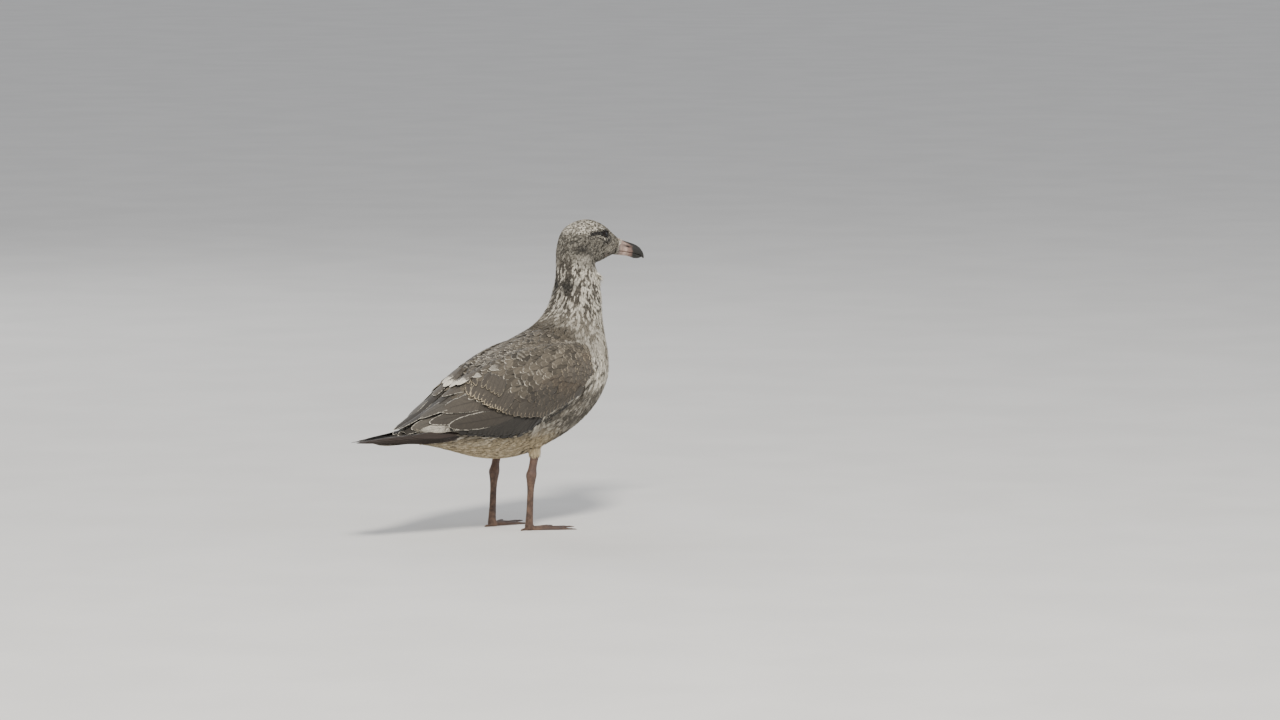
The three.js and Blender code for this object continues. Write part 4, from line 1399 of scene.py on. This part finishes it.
def row_pieces(label, rows, columns, seed, tip, material, patch):
    """The rows of each wing joined into one piece, with a cell of the unwrap for each feather."""
    for side, sign in SIDES.items():
        rng = np.random.default_rng(seed)
        coat = Coat()
        cells = in_cells(sum(row[1] for row in rows), columns)
        for line, count, length, width, slope, layers, spread, tone, shade, hem, strength in rows:
            feathers = row_of(line, count, length, width, slope, layers, spread, sign, rng)
            looks = row_looks(count, TONES[tone] * shade, TONES[hem], 1.0, rng)
            looks["hem"][:, 3] *= np.linspace(*strength, count)
            vanes(coat, feathers, looks, cells[:count], rng, 7, 14, tip=tip)
            cells = cells[count:]
        coat.build(f"{label}_{side}", material, patch=patch)


# Each big feather of the inner wing and the rear scapulars, on the right side: x, y, z (mm) of its
# root and of its tip, its width (mm), the heights of root and tip over the surface (mm), how dark it
# is, and how white its outer end is. Two of them are darkened partly as painted shade.
TERTIALS = [
    # darkened to fill the dark notch at the rear: partly its own dark tone, partly painted shade
    ((-100, -20, 140), (-158, -4, 121), 16, (-1.6, 0.2), 0.4, 0.0),
    ((-56, -47, 135), (-142, -13.5, 124), 12, (-1.4, 0.6), 0.9, 0.6),
    ((-40, -47, 147), (-126, -21, 134), 18, (-1.1, 1.0), 0.7, 0.0),
    ((-18, -52, 140), (-107, -32, 130), 20, (-1.2, 1.0), 0.6, 0.0),
    ((-30, -44, 152), (-144, -10, 127.5), 21, (-0.8, 1.3), 0.8, 0.05),
    ((-24, -46, 162), (-110, -21, 145), 24, (-0.2, 1.8), 0.95, 0.0),
    ((-30, -36, 172), (-132, -8, 137), 21, (0.3, 2.3), 0.65, 0.05),
    ((-14, -34, 182), (-94, -7, 159), 22, (0.9, 2.8), 1.05, 0.0),
    # darkened where the two wings' tertials meet over the rump: partly its own dark centre, partly painted
    # shade
    ((-62, -10, 176), (-157, -3, 127), 14, (0.2, 2.4), 0.45, 0.0),
    ((-54, -8, 181), (-81, -5.5, 168), 13, (1.6, 3.4), 1.1, 1.3),
    ((-50, -15, 181), (-76, -12, 170.5), 13, (1.5, 3.1), 1.1, 1.2),
    ((-32, -21, 185), (-57, -18, 175), 12, (1.4, 2.8), 1.0, 0.55),
    ((-16, -28, 191), (-38, -24, 183), 11, (1.2, 2.4), 1.0, 0.28),
]


def tertials():
    """The tertials and rear scapulars, one by one."""
    for side, sign in SIDES.items():
        rng = np.random.default_rng(SEED["tertials"])
        count = len(TERTIALS)
        flip = np.array([1, -sign, 1]) * MM
        starts, ends, widths, heights, shade, white = (np.array(part) for part in zip(*TERTIALS))
        if sign > 0:
            heights = heights - 0.25
        feathers = laid(starts * flip, ends * flip, widths * MM, heights, steps=16, bow=0.3)
        coat = Coat()
        looks = row_looks(count, TONES["covert"], TONES["white"] * 0.85, 0.8, rng)
        looks["tone"] = looks["tone"] * shade[:, None]
        looks["bars"] = -white
        cells = in_cells(count, 4)
        vanes(coat, feathers, looks, cells, rng, 11, 26, tip=0.55, camber=0.12, thick=0.3 * MM)
        coat.build(f"tertials_{side}", EDGED, patch=0.24)


def stiff(paths, normals, width):
    """Feathers along given paths; width: in mm, of all or of each."""
    length = np.linalg.norm(paths[:, -1] - paths[:, 0], axis=1)
    return Feathers(paths, unit(normals), length, np.broadcast_to(width, len(paths)) * MM)


# The folded primaries' line on the right side: x, y, z in mm and the tilt of their web in degrees.
PRIMARY_LINE = [
    (-80, -34, 119, 66),
    (-100, -31.5, 118.5, 62),
    (-120, -28, 118, 54),
    (-150, -19.5, 118.6, 42),
    (-180, -12, 119.4, 32),
    (-205, -6.5, 119.0, 24),
    (-219, -3.8, 118.4, 18),
]
PRIMARY_TIPS = (-150, -164, -178, -192, -206, -218.5)


def primaries():
    """The folded primaries: a fan of blades that lie closer together toward their tips."""
    rows = np.array(sorted(PRIMARY_LINE), float)
    steps = 20
    for side, sign in SIDES.items():
        rng = np.random.default_rng(SEED["primaries"])
        paths, normals = [], []
        for i, tip in enumerate(PRIMARY_TIPS):
            x = np.linspace(-80 - 3 * i, tip, steps)
            y, z, tilt = (np.interp(x, rows[:, 0], rows[:, k]) for k in (1, 2, 3))
            tilt = np.radians(tilt)
            out = stacked(0, -np.sin(tilt), np.cos(tilt))
            web = stacked(0, -np.cos(tilt), -np.sin(tilt))
            narrowing = 1 - 0.75 * np.linspace(0, 1, steps)[:, None]
            place = stacked(x, y, z) + out * (1.4 - 0.52 * i) + web * (1.4 * (i - 2.5)) * narrowing
            paths.append(place * [1, -sign, 1] * MM)
            normals.append(out * [1, -sign, 1])
        feathers = stiff(np.array(paths), np.array(normals), 11)
        coat = Coat()
        looks = row_looks(len(paths), TONES["flight"], TONES["covert"], 0.5, rng, vary=0.08)
        cells = in_cells(len(paths), 3)
        vanes(coat, feathers, looks, cells, rng, 7, 26, root=0.4, camber=0.08, jag=0.02, thick=0.4 * MM)
        coat.build(f"flight_feathers_{side}", FLIGHT, [f"primaries_{side}"], patch=0.31)


def tail_feathers():
    """Twelve tail feathers, the middle pair on top."""
    rng = np.random.default_rng(SEED["tail"])
    low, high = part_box("tail")
    steps, count = 14, 12
    paths, normals = [], []
    for i in range(count):
        pair = (i // 2) / 5  # 0 for the middle pair, 1 for the outer one
        sign = 1 if i % 2 else -1
        x = np.linspace(high.x + 10 * MM, low.x + (1 + 2.5 * pair) * MM, steps)
        share = np.linspace(0, 1, steps)
        y = sign * (0.8 + (3 + 10.5 * pair) * (0.5 + 0.5 * share)) * MM
        z = (low.z + high.z) / 2 + (0.9 * share - 0.3 - 0.28 * (i // 2) - 0.2 * pair**2) * MM
        paths.append(stacked(x, y, z))
        normals.append(np.tile([0, 0.12 * sign * pair, 1.0], (steps, 1)))
    feathers = stiff(np.array(paths), np.array(normals), 13)
    coat = Coat()
    looks = row_looks(count, TONES["flight"] * 1.05, TONES["buff"], 0.55, rng, vary=0.08)
    shape = dict(tip=0.8, root=0.15, camber=0.05, jag=0.03, thick=0.35 * MM)
    vanes(coat, feathers, looks, in_cells(count, 4), rng, 7, 20, **shape)
    coat.build("tail_feathers", FLIGHT, ["tail"], patch=0.24)


def tail_coverts():
    """Feathers over and under the root of the tail, which close the body behind."""
    rng = np.random.default_rng(SEED["tail_root"])
    coat = Coat()
    tail_low, tail_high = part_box("tail")
    middle = (tail_low.z + tail_high.z) / 2 / MM
    for over, count, tone in ((1, 46, TONES["mantle"] * 0.7), (-1, 70, TONES["belly"] * 0.7)):
        y = rng.uniform(-1, 1, count)
        rise = 3.0 - 2.0 * y**2 if over > 0 else 1.6 - 1.0 * y**2
        tips = stacked(rng.uniform(-172, -142, count), 13 * y, middle + over * rise)
        back = tips[:, 0] + rng.uniform(26, 34, count)
        roots = stacked(back, 10 * y, middle + 1 + over * (rise + 2))
        t = np.linspace(0, 1, 10)[None, :, None]
        path = (roots[:, None] * (1 - t) + tips[:, None] * t) * MM
        path[..., 2] += over * rng.uniform(0, 0.8 * MM, (count, 1)) * t[..., 0]
        normals = np.broadcast_to(stacked(0, 0.5 * y, over)[:, None], path.shape)
        feathers = stiff(path, normals, rng.uniform(7, 10, count))
        looks = row_looks(count, tone, TONES["buff"], 0.5, rng, bars=0.5 * (over < 0))
        cells = stacked(0.5 + 0.48 * y, rng.random(count))
        vanes(coat, feathers, looks, cells, rng, 5, 9, camber=0.12, jag=0.15, thick=0.18 * MM)
    coat.build("tail_coverts", FIRM, patch=0.01)


# ==== eyes
EYE_AIM = (0.08, 1.0, 0.04)  # which way the left eye looks
LID_ANGLE = 33.0  # degrees from the eye's aim to the lids' edge
# The lids' cross-section: degrees out from their edge, and mm outside the eyeball's radius.
LID_SHAPE = [(0, 0.02), (-0.5, 0.28), (1.0, 0.52), (3.5, 0.5), (6.5, 0.1), (10, -0.7), (10, -1.6), (3, -0.8)]


ROUND = np.linspace(0, 2 * math.pi, 40, endpoint=False)  # the points of each ring of eye and lids


def turned_rings(centre, aim, profile):
    """A surface of revolution round a line: profile is a list of (angle from the aim, radius)."""
    aim = unit(np.array(aim, float))
    side = unit(np.cross(aim, [0, 0, 1.0]))
    up = np.cross(side, aim)
    ring = np.cos(ROUND)[:, None] * side + np.sin(ROUND)[:, None] * up
    points = []
    for angle, radius in profile:
        a = np.reshape(np.radians(angle), (-1, 1))
        points.append(centre + radius * (np.cos(a) * aim + np.sin(a) * ring))
    return np.array(points)


def tube_faces(rows, columns, closed=True):
    """Quads between rings of points; closed: the last ring joins the first."""
    i = np.arange(rows if closed else rows - 1)[:, None]
    j = np.arange(columns)[None, :]
    a, b = i * columns, ((i + 1) % rows) * columns
    return stacked(a + j, a + (j + 1) % columns, b + (j + 1) % columns, b + j).reshape(-1, 4)


def eyes():
    """The eyeballs and the ring of lids round each."""
    for side, sign in SIDES.items():
        centre = EYE[side]
        aim = np.array(EYE_AIM) * [1, sign, 1]
        angles = np.concatenate([np.linspace(1, 40, 24), np.linspace(44, 179, 16)])
        bulge = 0.35 * MM * smooth_step(30, 8, angles)  # the cornea stands a little proud
        points = turned_rings(centre, aim, list(zip(angles, EYE_RADIUS + bulge - 0.25 * MM)))
        rows, columns = points.shape[:2]
        quads = tube_faces(rows, columns, closed=False)
        caps = end_caps(0, (rows - 1) * columns, columns)
        ball = make_object(f"eyeball_{side}", points.reshape(-1, 3), quads, caps, EYE_GLASS)
        facing_out(ball)
        aimed = np.repeat(angles, columns)
        around = np.tile(np.linspace(0, 1, columns, endpoint=False), rows)
        set_vector(ball.data, "ring", stacked(aimed, around, 0))
        finish_piece(ball, [f"eye_{side}"])
        open_ = LID_ANGLE * (1 + 0.07 * np.cos(2 * ROUND)) + 1.5 * np.cos(ROUND) ** 6
        narrow = 1 - 0.3 * np.abs(np.cos(ROUND)) ** 3 + 0.45 * np.clip(-np.sin(ROUND), 0, 1) ** 2
        profile = [(open_ + out * narrow, EYE_RADIUS + up * MM) for out, up in LID_SHAPE]
        rim = turned_rings(centre, aim, profile)
        faces = tube_faces(*rim.shape[:2])
        lids = make_object(f"eyelids_{side}", rim.reshape(-1, 3), faces, NO_TRIANGLES, LID)
        facing_out(lids)
        finish_piece(lids)


def facing_out(made):
    """Turns a closed mesh so that its faces point out."""
    points, triangles = mesh_arrays(made.data)
    a, b, c = (points[triangles[:, k]] for k in range(3))
    if (a * np.cross(b, c)).sum() < 0:
        made.data.flip_normals()


def eye_material():
    m = Nodes("eye")
    angle, around, _ = m.split(m.attribute("ring"))
    fibres = m.noise(m.join(m.times(around, 60.0), m.times(angle, 0.06), 0.0), 1.0, 3.0)
    iris = m.mix(m.ramp(fibres, 0.3, 0.7), (0.006, 0.004, 0.003, 1), (0.014, 0.009, 0.006, 1))
    pupil = m.ramp(angle, 13.0, 15.0)
    rim = m.ramp(angle, 25.0, 30.0)
    colour = m.mix(pupil, (0.003, 0.003, 0.003, 1), iris)
    colour = m.mix(rim, colour, (0.008, 0.006, 0.005, 1))
    return m.surface(colour, 0.05, IOR=1.38)


def lid_material():
    m = Nodes("eyelid_skin")
    coordinates = m.place()
    grain = m.noise(coordinates, 1800.0, 3.0)
    broad = m.noise(coordinates, 260.0, 2.0)
    height = m.split(coordinates)[2]
    middle = float(EYE["right"][2])
    below = m.ramp(height, middle - 0.8 * MM, middle - 2.4 * MM)
    pale = m.times(m.ramp(broad, 0.30, 0.45), below)
    colour = m.mix(pale, (0.013, 0.012, 0.011, 1), (0.34, 0.315, 0.27, 1))
    m.bump(grain, 0.6, 0.12 * MM)
    return m.surface(colour, 0.7, Specular_IOR_Level=0.25)


# ==== bill
BILL_LOW, BILL_HIGH = (np.array(corner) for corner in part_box("bill_upper"))
NOSTRIL = (0.40, 0.60)  # share of the upper bill's length from its root, and of its height


def refined(nodes, voxel, rounds, swell):
    """Nodes joined into one smoother mesh of small triangles."""
    points, triangles = remeshed([node_arrays(node, swell) for node in nodes], voxel)
    return relaxed(points, triangles, rounds), triangles


def bill():
    """The two halves of the bill, with the nostril and its groove sunk into the upper one, and painted shade
    in them and where the halves meet.
    """
    length = BILL_HIGH[0] - BILL_LOW[0]
    for name in ("bill_upper", "bill_lower"):
        points, triangles = refined([name], 0.45 * MM, 5, 0.12 * MM)
        normals = vertex_normals(points, triangles)
        other = Surface(*node_arrays("bill_lower" if name == "bill_upper" else "bill_upper"))
        gap = np.linalg.norm(other.drop(points)[0] - points, axis=1)
        # mouth: 1 where the two halves meet, a crease that the horn's material darkens as painted shade
        mouth = smooth_step(0.9 * MM, 0.35 * MM, gap)
        along = (points[:, 0] - BILL_LOW[0]) / length
        if name == "bill_upper":
            high = (points[:, 2] - BILL_LOW[2]) / (BILL_HIGH[2] - BILL_LOW[2])
            dx = (along - NOSTRIL[0]) * length
            dz = (high - NOSTRIL[1]) * (BILL_HIGH[2] - BILL_LOW[2]) + 0.22 * dx
            # slit and groove are sunk in, and the horn's material also darkens them as painted shade
            slit = np.exp(-((dx / (4.2 * MM)) ** 2) - (dz / (0.9 * MM)) ** 2)
            groove = np.exp(-(((dx + 6 * MM) / (8 * MM)) ** 2) - (dz / (2.2 * MM)) ** 2)
            side = smooth_step(0.6 * MM, 2.0 * MM, np.abs(points[:, 1]))
            points = points - normals * ((slit * 1.5 + groove * 0.45) * MM * side)[:, None]
        else:
            slit = np.zeros(len(points))
            groove = slit
        made = make_object(name + "_horn", points, NO_QUADS, triangles, HORN)
        set_vector(made.data, "along", stacked(along, slit, np.maximum(groove, 1.2 * mouth)))
        finish_piece(made, [name])


def horn_material():
    m = Nodes("bill_horn")
    along, slit, groove = m.split(m.attribute("along"))
    place = m.split(m.place())
    coordinates = m.place()
    blotch = m.noise(coordinates, 170.0, 3.0, 0.6)
    stretched = m.join(m.times(place[0], 0.35), place[1], place[2])
    fine = m.noise(stretched, 1500.0, 3.0, 0.6)
    wander = m.times(m.minus(blotch, 0.5), 0.16)
    culmen = float(BILL_HIGH[2])
    ridge = m.ramp(place[2], culmen - 0.011, culmen - 0.003, 0.0, 0.30)
    reach = m.plus(m.plus(along, wander), ridge)
    dark = m.ramp(reach, 0.47, 0.58)
    pink = m.mix(m.ramp(blotch, 0.3, 0.7), (0.25, 0.17, 0.135, 1), (0.50, 0.355, 0.29, 1))
    grey_root = m.mix(m.ramp(along, 0.14, 0.03), pink, (0.15, 0.12, 0.105, 1))
    dusky = m.mix(m.ramp(along, 0.30, 0.48), grey_root, (0.19, 0.115, 0.09, 1))
    # painted shade: the nostril's groove and the crease where the halves meet are darkened, and the slit is
    # painted nearly black
    dusky = m.mix(m.times(groove, 0.7), dusky, (0.06, 0.042, 0.038, 1))
    dusky = m.mix(slit, dusky, (0.012, 0.008, 0.008, 1))
    black = m.mix(m.ramp(fine, 0.3, 0.75), (0.006, 0.005, 0.003, 1), (0.019, 0.015, 0.008, 1))
    colour = m.mix(dark, dusky, black)
    horn_tip = m.ramp(along, 0.955, 0.99)
    colour = m.mix(m.times(horn_tip, 0.3), colour, (0.14, 0.12, 0.10, 1))
    m.bump(fine, 0.35, 0.12 * MM)
    return m.surface(colour, m.ramp(fine, 0.2, 0.8, 0.38, 0.55), Specular_IOR_Level=0.4)


# ==== legs and feet
def scale_gaps(distance, size, wide):
    """1 in the grooves between scales of a size laid in a row, 0 on the scales."""
    return 1 - smooth_step(0.0, wide, np.abs((distance / size) % 1 - 0.5) * 2)


def legs():
    """Bare legs and feet, with grooves between the scales of shin and toes."""
    for side in SIDES:
        ankle_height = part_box(f"leg_{side}")[0].z + 2 * MM
        points, triangles = refined([f"leg_{side}", f"foot_{side}"], 0.6 * MM, 3, 0.2 * MM)
        normals = vertex_normals(points, triangles)
        height = points[:, 2]
        ankle = points[np.abs(height - ankle_height) < 1 * MM][:, :2].mean(axis=0)
        reach = np.linalg.norm(points[:, :2] - ankle, axis=1)
        on_leg = smooth_step(8 * MM, 11 * MM, height) * (reach < 16 * MM)
        front = smooth_step(-0.1, 0.5, normals[:, 0])
        top = smooth_step(0.3, 0.8, normals[:, 2]) * smooth_step(1.9 * MM, 3.0 * MM, height)
        step = scale_gaps(height, 2.6 * MM, 0.25) * front * on_leg
        toe_step = scale_gaps(reach, 2.1 * MM, 0.3) * top * (1 - on_leg)
        points = points - normals * ((0.24 * step + 0.2 * toe_step) * MM)[:, None]
        points[:, 2] = np.maximum(points[:, 2], 0)
        made = make_object(f"leg_and_foot_{side}", points, NO_QUADS, triangles, LEG)
        thin = smooth_step(3.0 * MM, 2.0 * MM, points[:, 2])
        # web: 1 on the thin webs between the toes, which the leg's material darkens as painted shade
        web = (1 - on_leg) * thin * smooth_step(9 * MM, 15 * MM, reach)
        set_vector(made.data, "skin", stacked(step + toe_step, web, 0))
        finish_piece(made, [f"leg_{side}", f"foot_{side}"])


def leg_material():
    m = Nodes("leg_skin")
    grooves, web, _ = m.split(m.attribute("skin"))
    coordinates = m.place()
    z = m.split(coordinates)[2]
    blotch = m.noise(coordinates, 150.0, 4.0, 0.65)
    cells = m.node("ShaderNodeTexVoronoi", feature="DISTANCE_TO_EDGE")
    m.link(coordinates, cells.inputs["Vector"])
    cells.inputs["Scale"].default_value = 900.0
    mesh = m.ramp(cells.outputs["Distance"], 0.0, 0.12)
    colour = m.mix(m.ramp(blotch, 0.38, 0.62), (0.066, 0.037, 0.025, 1), (0.150, 0.090, 0.060, 1))
    colour = m.mix(m.times(m.ramp(z, 0.052, 0.066), 0.45), colour, (0.120, 0.070, 0.056, 1))
    # the webs darkened: painted shade
    colour = m.mix(m.times(web, 0.65), colour, (0.062, 0.038, 0.030, 1))
    colour = m.mix(m.times(grooves, 0.6), colour, (0.036, 0.021, 0.016, 1))
    lines = m.ramp(mesh, 0.0, 1.0, 0.72, 1.05)
    colour = m.shaded(colour, lines)
    m.bump(mesh, 0.5, 0.15 * MM)
    return m.surface(colour, m.ramp(blotch, 0.3, 0.7, 0.5, 0.68), Specular_IOR_Level=0.45)


# ==== the model
place_camera()
studio()
SOFT = feather_material("soft_plumage", 0.6)
FIRM = feather_material("wing_plumage", 1.2, shaft=0.35, gloss=0.04, streak=0.26, sides=(0.6, 0.9))
EDGED = feather_material("tertial_plumage", 1.2, shaft=0.4, gloss=0.06, streak=0.34, ragged=8.0)
FLIGHT = feather_material("flight_plumage", 0.8, shaft=0.6, gloss=0.18, streak=0.2)
EYE_GLASS = eye_material()
LID = lid_material()
HORN = horn_material()
LEG = leg_material()

outer = outer_surface()
build_skin()

sampler = np.random.default_rng(SEED["roots"])
spots = outer.sample(ROOTS_TRIED, sampler)
station_, flow_, angle_ = spine.place(spots)
sample = dict(points=spots, station=station_, flow=flow_, zone=zones(spots, station_, angle_))

soft_plumage()
firm_plumage()
row_pieces("wing_rows", WING_ROWS, 8, SEED["wing"], 0.55, FIRM, 0.105)
row_pieces("lined_coverts", LINED_ROWS, 5, SEED["lined"], 0.5, EDGED, 0.18)
tertials()
primaries()
tail_feathers()
tail_coverts()
eyes()
bill()
legs()
